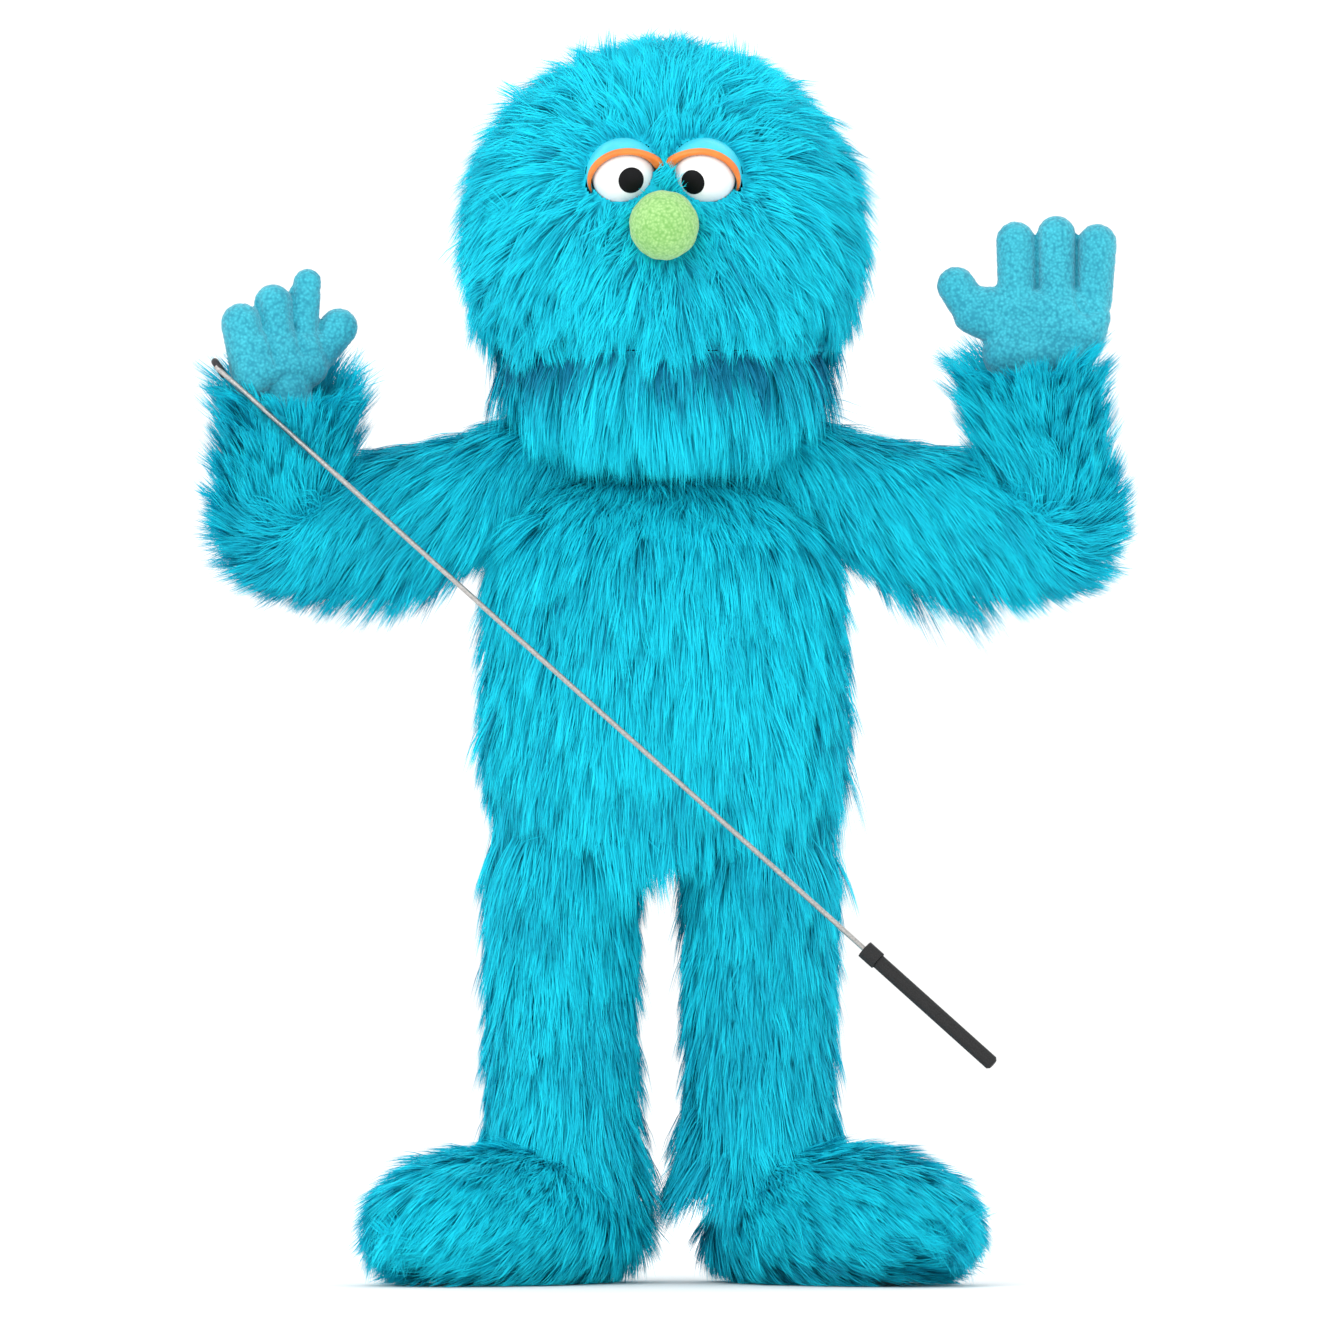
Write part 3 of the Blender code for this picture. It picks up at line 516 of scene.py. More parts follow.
def fur_piece(name, blades, tones, backing=()):
    """One fur piece: its ribbons, and under them the cloth they grow from, in the tone of their roots.

    The UVs are not a layout: u is the ribbon's tone and v the place along it.
    """
    blades = reined_in(blades)
    n, per = len(blades), 2 * STEPS + 1
    first = np.arange(n)[:, None] * per
    corners = []
    for k in range(STEPS - 1):
        corners += [2 * k, 2 * k + 1, 2 * k + 3, 2 * k + 2]
    corners += [2 * STEPS - 2, 2 * STEPS - 1, 2 * STEPS]
    corners = np.array(corners)
    row, edge = corners // 2, corners % 2
    edge = np.where(corners == 2 * STEPS, 0.5, edge)
    v = 0.02 + 0.96 * row / STEPS
    u = tones[:, None] + (edge - 0.5) * 0.03
    uv = np.stack((u, np.broadcast_to(v, u.shape)), -1).reshape(-1, 2)
    points = [blades.reshape(-1, 3)]
    loops = [(first + corners).ravel()]
    sizes = [np.tile([4] * (STEPS - 1) + [3], n)]
    uvs = [uv]
    used = n * per
    for base_points, base_faces in backing:
        points.append(base_points)
        loops.append(base_faces.ravel() + used)
        sizes.append(np.full(len(base_faces), base_faces.shape[1]))
        place = base_points[base_faces.ravel()]
        wrap = np.stack((0.4 + 0.1 * np.sin(place[:, 0] * 90), 0.27 + 0.03 * np.sin(place[:, 2] * 90)), -1)
        uvs.append(wrap)
        used += len(base_points)
    return mesh_object(name, np.concatenate(points), np.concatenate(sizes), np.concatenate(loops),
                       np.concatenate(uvs), "fur")


def cloth_of(node_name):
    """A CAD cover's own triangles, to back the pile."""
    mesh = NODES[node_name].data
    mesh.calc_loop_triangles()
    faces = np.empty(len(mesh.loop_triangles) * 3, np.int32)
    mesh.loop_triangles.foreach_get("vertices", faces)
    return array_of(mesh.vertices, "co"), faces.reshape(-1, 3)


def middle(node_name):
    """The middle of a CAD node's box."""
    low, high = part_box(node_name)
    return np.array((low + high) / 2)


EYES = {side: middle("eye_white_" + side) for side in SIDES}
ROD_TOP, ROD_END = at(*ROD_TOP), at(*ROD_END)
NOSE = middle("nose")
CROWNS = {side: unit(np.array((LID_CROWN[0] * out, *LID_CROWN[1:]))) for side, out in SIDES.items()}


def off_face(points):
    """How far points stand off the eyes, their lids and rims, and the nose."""
    gap = np.linalg.norm(points - NOSE, axis=-1) - NOSE_R
    band = RIM_HALF + 3
    for side in SIDES:
        away = points - EYES[side]
        distance = np.linalg.norm(away, axis=-1)
        towards = (away @ CROWNS[side]) / np.maximum(distance, 1e-9)
        under = towards < math.cos(math.radians(RIM_ANGLE + band))
        over = towards > math.cos(math.radians(RIM_ANGLE - band))
        gap = np.minimum(gap, distance - np.where(under, EYE_R, np.where(over, LID_OUT_R, TRIM_OUT_R)))
    return gap


def behind_rod(blades):
    """Ribbons that would lie over the rod, pressed back behind it."""
    along = ROD_END - ROD_TOP
    run = along * (1, 0, 1)
    square = np.array((-run[2], 0, run[0])) / np.linalg.norm(run)
    edge = blades[:, ::2]
    part = (edge - ROD_TOP) @ run / (run @ run)
    beside = (edge - ROD_TOP) @ square
    before = (edge[..., 1] < ROD_TOP[1] + part * along[1] + 0.003) & (part > -0.01) & (part < 1)
    near = np.abs(beside) < 0.003
    crossing = beside[:, :-1] * beside[:, 1:] < 0
    over = (before & near).any(1) | (crossing & (before[:, :-1] | before[:, 1:])).any(1)
    own = (blades - ROD_TOP) @ run / (run @ run)
    limit = ROD_TOP[1] + own * along[1] + 0.0035
    pressed = blades.copy()
    pressed[..., 1] = np.where(over[:, None], np.maximum(blades[..., 1], limit), blades[..., 1])
    return pressed


DENSITY = 560_000      # ribbons to a square metre


def body_fur():
    """The body's pile hangs straight down; it is clipped short round the hand entry."""
    rng = np.random.default_rng(SEEDS["body"])
    where, normal, _ = scatter(oval_rings(FUR_BODY), DENSITY, rng)
    behind = where[:, 1] > SHIFT[1]
    in_entry = np.hypot(where[:, 0] / ENTRY_HALF[0], where[:, 2] / ENTRY_HALF[1]) < 1.06
    keep = ~(behind & in_entry)
    for side, out in SIDES.items():
        hip, shoulder = JOINTS["hip_" + side], JOINTS["shoulder_" + side]
        in_thigh = np.hypot(where[:, 0] - hip[0], where[:, 1] - hip[1]) < THIGH_COVER_R - 0.004
        in_arm = np.hypot(where[:, 1] - shoulder[1], where[:, 2] - shoulder[2]) < 0.024
        keep &= ~((where[:, 2] < FLOOR + BODY_FOOT) & in_thigh)
        keep &= ~((where[:, 0] * out > 0.07) & in_arm)
    where, normal, behind = where[keep], normal[keep], behind[keep]
    height = where[:, 2] - FLOOR
    flow = np.stack((where[:, 0] * 2.0, np.zeros(len(where)), -np.ones(len(where))), 1)
    by_entry = behind & (where[:, 2] > 0) & (np.abs(where[:, 0]) < 0.05)
    trimmed = np.clip(0.006 + (np.linalg.norm(where, axis=1) - ENTRY_HALF[1]) * 0.75, 0.008, PILE)
    length = np.where(by_entry, trimmed, PILE)
    length = length + 0.006 * (length > PILE - 0.001)
    length = length * (1 + 0.9 * patchy(where, 42) * rise(height, 0.345, -0.04))
    lift = 13 + 8 * np.clip(np.abs(normal[:, 0]), 0, 1) * rise(height, 0.31, 0.05)
    lift += 12 * rise(height, 0.455, 0.035) - 8 * rise(height, 0.335, -0.04)
    blades, tones = ribbons(where, normal, flow, length, lift, rng, droop=0.5)
    blades = behind_rod(blades)
    front = where[:, 1] < SHIFT[1]
    for name, mine, backing in (("body_fur_front", front, [cloth_of("torso_fur_cover")]),
                                ("body_fur_back", ~front, [])):
        piece = fur_piece(name, blades[mine], tones[mine], backing)
        if backing:
            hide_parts("torso_fur_cover")
        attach(piece, "torso")


def socket_cloth():
    """The head's cloth close round the eyes and the nose."""
    points, quads = grid_of(oval_rings(FUR_HEAD, 300, 480))
    middles = points[quads].mean(1)
    close = (off_face(middles) > 0.0002) & (off_face(middles) < 0.009) & (middles[:, 1] < NOSE[1] + 0.04)
    chosen, index = np.unique(quads[close], return_inverse=True)
    return points[chosen], index.reshape(-1, 4)


def head_fur():
    """The head's pile runs outwards from the middle of the face, and over the mouth like a curtain."""
    rng = np.random.default_rng(SEEDS["head"])
    where, normal, _ = scatter(oval_rings(FUR_HEAD, 60, 90), DENSITY, rng)
    x, y, z = (where - SHIFT).T
    keep = (z > MOUTH_HEIGHT + 0.003) | (y > JAW_BACK + 0.004)
    keep &= ~((z < 0.549) & (np.hypot(x / 0.050, (y - 0.034) / 0.030) < 1))
    keep &= off_face(where) > 0.0004
    where, normal = where[keep], normal[keep]
    x, y, z = x[keep], y[keep], z[keep]
    gap = off_face(where)

    from_face = np.stack((x, np.zeros(len(x)), z - FACE_HEIGHT), 1)
    flow = from_face / np.maximum(np.linalg.norm(from_face, axis=1, keepdims=True), 0.02)
    flow[:, 2] -= 0.20 + 1.0 * rise(z, 0.700, -0.08) + 0.5 * (y > 0)
    flow[:, 1] += 0.25 * (y < 0.03)
    for centre, radius in [(centre, EYE_R) for centre in EYES.values()] + [(NOSE, NOSE_R)]:
        away = where - centre
        distance = np.linalg.norm(away, axis=1)
        flow += unit(away) * (1.3 * np.exp(-(distance - radius) / 0.010))[:, None]

    lip = (y < JAW_BACK) & (z < MOUTH_HEIGHT + LIP_BAND)
    over_lip = rise(z, MOUTH_HEIGHT, LIP_BAND)
    locks = patchy(where, LOCKS)
    ragged = np.clip(rng.uniform(0.75, 1.10, len(x)) + 1.9 * locks, 0.60, 2.0)
    length = PILE * np.clip(0.30 + gap / 0.035, 0.30, 1) + 0.010 * rise(z, 0.60, -0.05) * (y > 0)
    length = np.where(lip, np.minimum(length, (0.0085 + 0.026 * over_lip) * ragged), length)
    top, behind = rise(z, 0.68, 0.06), rise(y, 0.02, 0.05)
    lift = 19 + 16 * top * (1 - behind) + 8 * rise(np.abs(x), 0, 0.11) ** 2 - 9 * behind
    lift = lift + 42 * np.exp(-gap / 0.004)
    lift = np.where(lip, lift * (0.35 + 0.65 * over_lip), lift)
    blades, tones = ribbons(where, normal, flow, length, lift, rng, droop=0.30, rough=0.24)

    # painted shade: the lowest locks over the mouth are darkened in patches, as shade falls into the crease
    crease_shade_locks = np.clip(0.15 - 2.6 * locks, 0, 1) * np.clip(1 - over_lip * 2.2, 0, 1) * (y < JAW_BACK)
    tones = np.clip(tones - 0.6 * crease_shade_locks, 0.01, 0.97)
    clear = off_face(blades).min(1) > 0.0001
    front = y < -0.004
    face_cloth = [cloth_of("head_fur_cover"), socket_cloth()]
    for name, mine, backing in (("head_fur_front", front & clear, face_cloth),
                                ("head_fur_back", ~front & clear, [])):
        piece = fur_piece(name, blades[mine], tones[mine], backing)
        if backing:
            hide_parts("head_fur_cover")
        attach(piece, "head")


def jaw_fur():
    """The beard under the mouth, its top cut into shorter locks, with painted shade under the lip's overhang and
    in patches along the crease, like the lip above it.
    """
    rng = np.random.default_rng(SEEDS["jaw"])
    where, normal, _ = scatter(oval_rings(FUR_JAW[::-1], 24, 90), DENSITY, rng)
    keep = (where - SHIFT)[:, 1] < JAW_BACK - 0.004
    where, normal = where[keep], normal[keep]
    x, _, z = (where - SHIFT).T
    high = rise(z, 0.545, 0.028)
    under_lip = rise(z, 0.558, 0.010)
    crease_shade_locks = np.clip(0.35 - 2.6 * patchy(where, LOCKS), 0, 1)
    flow = np.stack((x * 3.0, -0.1 + 0.3 * (1 - high), -np.ones(len(x))), 1)
    length = (0.046 - 0.006 * high + 0.006 * (1 - high)) * (1 - 0.55 * crease_shade_locks * under_lip)
    lift = 18 - 6 * high + 10 * rise(np.abs(x), 0, 0.09) ** 2
    blades, tones = ribbons(where, normal, flow, length, lift, rng, droop=0.7)
    # painted shade under the upper lip's overhang, darker still in patches of locks along the mouth's crease
    tones = np.clip(tones - (0.20 + 0.55 * crease_shade_locks) * under_lip, 0.01, 0.97)
    piece = fur_piece("jaw_fur", blades, tones, [cloth_of("jaw_fur_cover")])
    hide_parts("jaw_fur_cover")
    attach(piece, "jaw")


def neck_fur():
    """The pile of the neck, mostly under the beard."""
    rng = np.random.default_rng(SEEDS["neck"])
    rings = oval_rings(FUR_NECK, 12, 60)
    where, normal, _ = scatter(rings, DENSITY, rng)
    flow = np.tile((0, 0, -1.0), (len(where), 1))
    length = np.full(len(where), PILE + 0.004)
    blades, tones = ribbons(where, normal, flow, length, 34.0, rng, droop=0.5)
    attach(fur_piece("neck_fur", blades, tones, [grid_of(rings)]), "neck")


def limb_fur(names, line, radii, spans, blends, covers, seed, comb, shade):
    """Fur round one limb, cut into pieces at its joints.

    `comb` gives each root's flow, length and lift, whether it is kept, and the droop.
    """
    rng = np.random.default_rng(seed)
    line, steps = line
    rings = tube_rings(line, radii)
    where, normal, row = scatter(rings, DENSITY, rng)
    far = row / (len(steps) - 1) * steps[-1]
    heading = unit(np.gradient(line, axis=0))[np.minimum(row.astype(int), len(steps) - 1)]
    flow, length, lift, keep, droop = comb(where, normal, far, heading)
    where, normal, far = where[keep], normal[keep], far[keep]
    blades, tones = ribbons(where, normal, flow[keep], length[keep], lift[keep], rng, droop=droop)
    # painted shade: the limb's side shade, and more on the undersides that face down
    tones = np.clip(tones - shade - 0.20 * np.clip(-normal[:, 2], 0, 1), 0.16, 0.97)
    blades[..., 2] = np.maximum(blades[..., 2], FLOOR + OVER_FLOOR)
    blades = behind_rod(blades)
    for name, (low, high), bend, cover in zip(names, spans, blends, covers):
        mine = (far >= low) & (far < high)
        inside = (steps >= low - 0.006) & (steps <= high + 0.006)
        sleeve = tube_rings(line, np.array(radii) - (0.0006 if cover else 0))[inside]
        backing = [grid_of(sleeve)] + ([cloth_of(cover)] if cover else [])
        piece = fur_piece(name, blades[mine], tones[mine], backing)
        if cover:
            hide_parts(cover)
        if len(bend) == 1:
            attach(piece, bend[0])
        else:
            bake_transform(piece)


def arm_fur(side, out):
    """An arm's pile: it hangs from the upper arm and stands up round the forearm and its cuff."""
    shoulder, elbow, wrist = (JOINTS[name + side] for name in ("shoulder_", "elbow_", "wrist_"))
    inner = shoulder + np.array((-YOKE * out, 0.014, 0.032))
    cuff = wrist + unit(wrist - elbow) * 0.004
    line = rounded([inner, shoulder, elbow, cuff], 0.018)
    total = line[1][-1]
    at_shoulder = np.linalg.norm(inner - shoulder)
    at_elbow = at_shoulder + np.linalg.norm(elbow - shoulder) - 0.004
    radii = np.interp(line[1], (0, at_shoulder, at_elbow, total - 0.02, total),
                      (0.024, ARM_COVER_R, FOREARM_COVER_R, FOREARM_COVER_R, 0.029))

    def comb(where, normal, far, heading):
        under, facing = np.clip(-normal[:, 2], 0, 1), np.clip(-normal[:, 1], 0, 1)
        outside = np.clip(normal[:, 0] * out, 0, 1)
        upright = rise(far, at_elbow - 0.02, 0.04)
        cuff_end = rise(far, total - 0.035, 0.035)
        hanging = rise(far, at_shoulder, 0.02) * rise(far, at_elbow - 0.015, -0.05)
        flow = heading * 0.9 + normal * 0.1
        flow[:, 2] -= 0.75 * (1 - upright) + 0.10 * upright
        length = PILE + 0.018 * under * hanging - 0.007 * outside * upright * (1 - cuff_end)
        length = length * (1 - 0.45 * facing ** 2 * cuff_end)
        lift = 16 + 28 * under * hanging + upright * (8 + 12 * outside) + 34 * cuff_end
        x, y, z = (where - SHIFT).T
        in_body = (np.hypot(x / 0.088, (y - 0.01) / 0.054) < 1) & (z < FUR_BODY[-1][0])
        return flow, length, lift, ~in_body, 0.30

    before, after = unit(shoulder - elbow), unit(wrist - elbow)
    spans = [(0, at_shoulder + 0.024), (at_shoulder + 0.024, at_elbow - 0.030),
             (at_elbow - 0.030, at_elbow + 0.026), (at_elbow + 0.026, total + 1)]
    blends = [("torso", "upper_arm_" + side, shoulder + before * 0.012, shoulder - before * 0.026),
              ("upper_arm_" + side,),
              ("upper_arm_" + side, "forearm_" + side, elbow + before * 0.028, elbow + after * 0.028),
              ("forearm_" + side,)]
    names = ["shoulder_fur_", "upper_arm_fur_", "elbow_fur_", "forearm_fur_"]
    covers = [None, "upper_arm_fur_cover_" + side, None, "forearm_fur_cover_" + side]
    limb_fur([name + side for name in names], line, radii, spans, blends, covers,
             SEEDS["arm"] + out, comb, PAINTED_LIMB_SHADE["arm"][side])


def leg_fur(side, out):
    """A leg's pile, which hangs down and flares over the foot."""
    hip, knee = JOINTS["hip_" + side], JOINTS["knee_" + side]
    at_hip, at_knee = 0.020, 0.020 + (hip - knee)[2]
    top = hip + np.array((0, 0, at_hip))
    ankle = knee - np.array((0, 0, 0.108))
    line = rounded([top, hip, knee, ankle], 0.004)
    total = line[1][-1]
    radii = np.interp(line[1], (0, at_hip, 0.11, total), (0.040, THIGH_COVER_R, SHIN_COVER_R, SHIN_COVER_R))
    foot = foot_centre(side)

    def comb(where, normal, far, heading):
        flow = heading + normal * 0.1
        flow[:, 0] += 0.06 * out
        high = rise(far, 0.10, -0.10)
        low = rise(far, total - 0.06, 0.05)
        length = PILE + 0.008 * high + 0.008 * low
        lift = 15 + high * (14 * np.abs(normal[:, 1]) - 7 * np.abs(normal[:, 0])) + 26 * low
        flow += normal * (1.5 * low ** 2)[:, None]
        keep = ((where - SHIFT)[:, 2] < BODY_FOOT - 0.004) & ~in_foot(where, foot, out, 0.94)
        return flow, length, lift, keep, 0.4

    spans = [(0, at_hip + 0.030), (at_hip + 0.030, at_knee - 0.026), (at_knee - 0.026, at_knee + 0.026),
             (at_knee + 0.026, total + 1)]
    up = np.array((0, 0, 1.0))
    blends = [("torso", "thigh_" + side, hip + up * 0.012, hip - up * 0.034), ("thigh_" + side,),
              ("thigh_" + side, "shin_" + side, knee + up * 0.028, knee - up * 0.028), ("shin_" + side,)]
    names = ["hip_fur_", "thigh_fur_", "knee_fur_", "shin_fur_"]
    covers = [None, "thigh_fur_cover_" + side, None, "shin_fur_cover_" + side]
    limb_fur([name + side for name in names], line, radii, spans, blends, covers,
             SEEDS["leg"] + out, comb, PAINTED_LIMB_SHADE["leg"][side])


def foot_centre(side):
    centre = middle("sole_" + side)
    centre[2] = FLOOR + FOOT_HEIGHT
    return centre


def foot_axes(out):
    """Unit vectors across the splayed foot and along it to the toes."""
    toes = np.array((math.sin(FOOT_SPLAY) * out, -math.cos(FOOT_SPLAY), 0))
    return np.array((toes[1], -toes[0], 0)), toes


def in_foot(where, centre, out, grow):
    """Which points lie in the foot's ellipsoid, grown by a factor."""
    local = where - centre
    across, toes = foot_axes(out)
    scaled = np.stack((local @ across, local @ toes, local[:, 2]), 1) / FOOT_HALF
    return np.linalg.norm(scaled, axis=1) < grow


def foot_fur(side, out):
    """A foot's pile, combed away from the ankle and down to the floor."""
    rng = np.random.default_rng(SEEDS["foot"] + out)
    centre, (across, toes) = foot_centre(side), foot_axes(out)
    tilt = np.linspace(-0.5 * math.pi + 0.05, 0.5 * math.pi - 0.02, 36)[:, None, None]
    turn = np.linspace(0, math.tau, 72, endpoint=False)[None, :, None]
    rings = (centre + across * FOOT_HALF[0] * np.cos(tilt) * np.cos(turn)
             + toes * FOOT_HALF[1] * np.cos(tilt) * np.sin(turn)
             + np.array((0, 0, 1.0)) * FOOT_HALF[2] * np.sin(tilt))
    widest = len(rings) // 2
    first, beside, above = rings[widest, 0], rings[widest, 1], rings[widest + 1, 0]
    if np.cross(beside - first, above - first) @ (first - centre) < 0:
        rings = rings[:, ::-1]
    where, normal, _ = scatter(rings, DENSITY, rng)
    knee = JOINTS["knee_" + side]
    in_shin = np.hypot(where[:, 0] - knee[0], where[:, 1] - knee[1]) < SHIN_COVER_R - 0.004
    keep = (where[:, 2] > FLOOR + 0.006) & ~(in_shin & (where[:, 2] > centre[2]))
    where, normal = where[keep], normal[keep]
    ankle = np.array((knee[0], knee[1], FLOOR + 0.11))
    flow = unit(where - ankle)
    flow[:, 2] = np.minimum(flow[:, 2], 0) * 0.6 - 0.15
    flow += toes * 0.35
    low = rise(where[:, 2], FLOOR + 0.05, -0.04)
    off_ankle = np.linalg.norm(where - ankle + np.array((0, 0, 0.05)), axis=1)
    length = PILE - 0.001 - 0.004 * low
    lift = 16 + 12 * low - 6 * rise(off_ankle, 0.09, -0.06)
    blades, tones = ribbons(where, normal, flow, length, lift, rng, droop=0.15)
    # painted shade on this foot's pile; a negative amount is painted light
    tones = np.clip(tones - PAINTED_LIMB_SHADE["foot"][side], 0.03, 0.97)
    blades[..., 2] = np.maximum(blades[..., 2], FLOOR + OVER_FLOOR)
    piece = fur_piece("foot_fur_" + side, blades, tones, [cloth_of("foot_fur_cover_" + side)])
    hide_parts("foot_fur_cover_" + side)
    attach(piece, "shin_" + side)


# ---- eyes, nose, rod's ring ----
def lathe(name, profile, centre, axis, slot, around=96):
    """A closed profile of (radius, height) pairs turned about an axis through centre."""
    axis = unit(np.array(axis, float))
    side = unit(np.cross(axis, (0.3, 0.1, 0.9)))
    other = np.cross(axis, side)
    turn = np.linspace(0, math.tau, around, endpoint=False)
    spoke = np.cos(turn)[:, None] * side + np.sin(turn)[:, None] * other
    mesh = bmesh.new()
    rows = []
    for radius, height in profile:
        middle_point = centre + axis * height
        if radius < 1e-6:
            rows.append([mesh.verts.new(middle_point)] * around)
        else:
            rows.append([mesh.verts.new(middle_point + radius * s) for s in spoke])
    closed = profile[0][0] > 1e-6 or profile[-1][0] > 1e-6
    pairs = list(zip(rows, rows[1:])) + ([(rows[-1], rows[0])] if closed else [])
    for low, high in pairs:
        for i in range(around):
            j = (i + 1) % around
            corners = []
            for vertex in (low[i], low[j], high[j], high[i]):
                if vertex not in corners:
                    corners.append(vertex)
            if len(corners) > 2:
                mesh.faces.new(corners)
    return from_bmesh(name, mesh, slot)


def from_bmesh(name, mesh, slot):
    """A smooth object of that slot's material; the bmesh is used up."""
    bmesh.ops.recalc_face_normals(mesh, faces=mesh.faces)
    data = bpy.data.meshes.new(name)
    mesh.to_mesh(data)
    mesh.free()
    data.polygons.foreach_set("use_smooth", [True] * len(data.polygons))
    return placed(name, data, slot)


def arc(radius, first, last, steps):
    """(radius, height) pairs on a circle, with angles in degrees from the axis."""
    turns = np.radians(np.linspace(first, last, steps))
    return [(radius * math.sin(t), radius * math.cos(t)) for t in turns]


def eyes():
    """Turned whites, pupils and lids, smoother than the CAD's, and the lids' rims."""
    for side, out in SIDES.items():
        centre, crown = EYES[side], CROWNS[side]
        look = unit(np.array(LOOK[side]))
        over, under = EYE_R + 0.0002, EYE_R - 0.0010
        pupil = (arc(over, PUPIL[side], 0, 14)[:-1] + [(0, over), (0, under)]
                 + arc(under, 0, PUPIL[side], 6)[1:])
        parts = {
            "eye_white_": (arc(EYE_R, 0, 180, 60), look, "eye_white"),
            "pupil_": (pupil, look, "pupil"),
            "eyelid_": (arc(LID_OUT_R, 0, LID_EDGE, 40) + arc(LID_IN_R, LID_EDGE, 0, 30), crown, "lid"),
        }
        for name, (profile, axis, slot) in parts.items():
            piece = lathe(name + side + "_smooth", profile, centre, axis, slot)
            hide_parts(name + side)
            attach(piece, "head")
        trim = rim("eyelid_trim_" + side + "_smooth", centre, crown, out)
        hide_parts("eyelid_trim_" + side)
        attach(trim, "head")


def rim(name, centre, crown, out):
    """The eyelid's rolled rim: a rounded band along the lid's front edge, its ends run out in the fur."""
    ahead = np.array((0, -1.0, 0))
    ahead = unit(ahead - crown * (ahead @ crown))
    across = np.cross(crown, ahead)
    inner_sign = -math.copysign(1, across[0] * out)
    middle_r, half_r = (TRIM_OUT_R + LID_IN_R) / 2, (TRIM_OUT_R - LID_IN_R) / 2
    rings = []
    ends = (-RIM_REACH, RIM_INNER_REACH) if inner_sign > 0 else (-RIM_INNER_REACH, RIM_REACH)
    for along in np.radians(np.linspace(*ends, 72)):
        spoke = math.cos(along) * ahead + math.sin(along) * across
        inner_side = along * inner_sign > 0
        reach, taper = (RIM_INNER_REACH, 16) if inner_side else (RIM_REACH, 50)
        fade = max(0.0, min(1.0, (math.radians(reach + 1) - abs(along)) / math.radians(taper))) ** 0.6
        inward = max(0.0, -spoke[0] * out) ** 3 * RIM_INNER
        ring = []
        for turn in np.linspace(0, math.tau, 20, endpoint=False):
            squared = [math.copysign(abs(v) ** 0.75, v) * fade for v in (math.sin(turn), math.cos(turn))]
            radius = middle_r + half_r * squared[0] + inward * (0.5 + 0.5 * squared[0])
            angle = math.radians(RIM_ANGLE + RIM_HALF * squared[1])
            ring.append(centre + radius * (math.cos(angle) * crown + math.sin(angle) * spoke))
        rings.append(ring)
    return lofted(name, np.array(rings), "lid_trim")


def lofted(name, rings, slot):
    """A closed smooth skin over rings of points, with flat ends."""
    mesh = bmesh.new()
    loops = [[mesh.verts.new(point) for point in ring] for ring in rings]
    for low, high in zip(loops, loops[1:]):
        for i in range(len(low)):
            j = (i + 1) % len(low)
            mesh.faces.new((low[i], low[j], high[j], high[i]))
    mesh.faces.new(loops[0][::-1])
    mesh.faces.new(loops[-1])
    return from_bmesh(name, mesh, slot)


def nose():
    """The ball nose, with the fleece's lumps."""
    made = lathe("nose_ball", arc(NOSE_R, 0, 180, 60), NOSE, (0, -0.5, 0.85), "nose")
    lumpy(made, 0.0006, 160)
    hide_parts("nose")
    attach(made, "head")


def rod_ring():
    """The black loop on the hand's edge that the rod's end is held in, its plane along the hand's edge."""
    ring_r, wire_r = 0.0048, 0.0023
    down_hand = (0.56, -0.08, -0.82)
    square = unit(np.cross(down_hand, (0, 1, 0)))
    profile = [(ring_r + wire_r * math.cos(t), wire_r * math.sin(t))
               for t in np.linspace(0, math.tau, 20, endpoint=False)]
    centre = middle("rod_eyelet") + np.array((0.0022, 0.0055, -0.001))
    made = lathe("rod_loop", profile, centre, square, "eyelet", 48)
    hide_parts("rod_eyelet")
    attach(made, "hand_right")


def lumpy(thing, height, scale):
    """Small lumps as real relief."""
    mesh = thing.data
    for vertex, normal in zip(mesh.vertices, [v.normal.copy() for v in mesh.vertices]):
        vertex.co += normal * noise.noise(vertex.co * scale) * height


# ---- hands ----
# stuffed lobes of the hands from the wrist: (out, forward, up) twice, radius
LOBES = {
    "left": (
        ((0.000, 0, -0.004), (0.006, 0, 0.012), 0.0160),
        ((-0.012, 0, 0.014), (0.025, 0, 0.014), 0.0165),
        ((-0.012, 0, 0.042), (-0.031, 0, 0.043), 0.0122),
        ((-0.006, 0, 0.026), (0.033, 0, 0.028), 0.0155),
        ((-0.004, 0, 0.041), (0.026, 0, 0.041), 0.0140),
        ((-0.007, 0, 0.050), (-0.008, 0, 0.083), 0.0120),
        ((0.0172, 0, 0.052), (0.0172, 0, 0.0865), 0.0120),
        ((0.0400, -0.003, 0.046), (0.0424, 0, 0.0815), 0.0120),
        ((0.036, 0.002, 0.024), (0.0395, 0.001, 0.036), 0.0115),
        ((-0.012, 0, 0.028), (-0.034, 0, 0.038), 0.0125),
        ((-0.034, 0, 0.038), (-0.0445, 0, 0.0555), 0.0118),
    ),
    "right": (
        ((0.000, 0, -0.004), (0.002, 0, 0.012), 0.0160),
        ((0.020, 0.010, 0.022), (-0.010, -0.004, 0.024), 0.0150),
        ((0.020, 0.010, 0.034), (-0.012, -0.004, 0.034), 0.0132),
        ((0.022, 0.012, 0.016), (0.0285, 0.012, 0.049), 0.0126),
        ((0.0075, 0.004, 0.034), (0.0090, 0.004, 0.0615), 0.0118),
        ((-0.008, -0.003, 0.034), (-0.0100, -0.0045, 0.066), 0.0100),
        ((-0.0100, -0.0045, 0.062), (-0.0120, -0.005, 0.0745), 0.0086),
        ((-0.010, -0.008, 0.022), (-0.031, -0.013, 0.047), 0.0118),
    ),
}
# stitched lines that draw the fleece in: (x, z) of the standing frame
STITCHES = {
    "left": (((0.2293, 0.648), (0.2293, 0.612)), ((0.2537, 0.650), (0.2535, 0.604), (0.2560, 0.5985),
                                                  (0.2610, 0.5965), (0.2665, 0.5985))),
    "right": (((-0.2496, 0.604), (-0.2462, 0.5883), (-0.2422, 0.5803), (-0.2376, 0.5650)),
              ((-0.2288, 0.615), (-0.2288, 0.5923), (-0.2255, 0.5843), (-0.2222, 0.5730)),
              ((-0.2115, 0.598), (-0.2120, 0.584), (-0.2090, 0.574))),
}


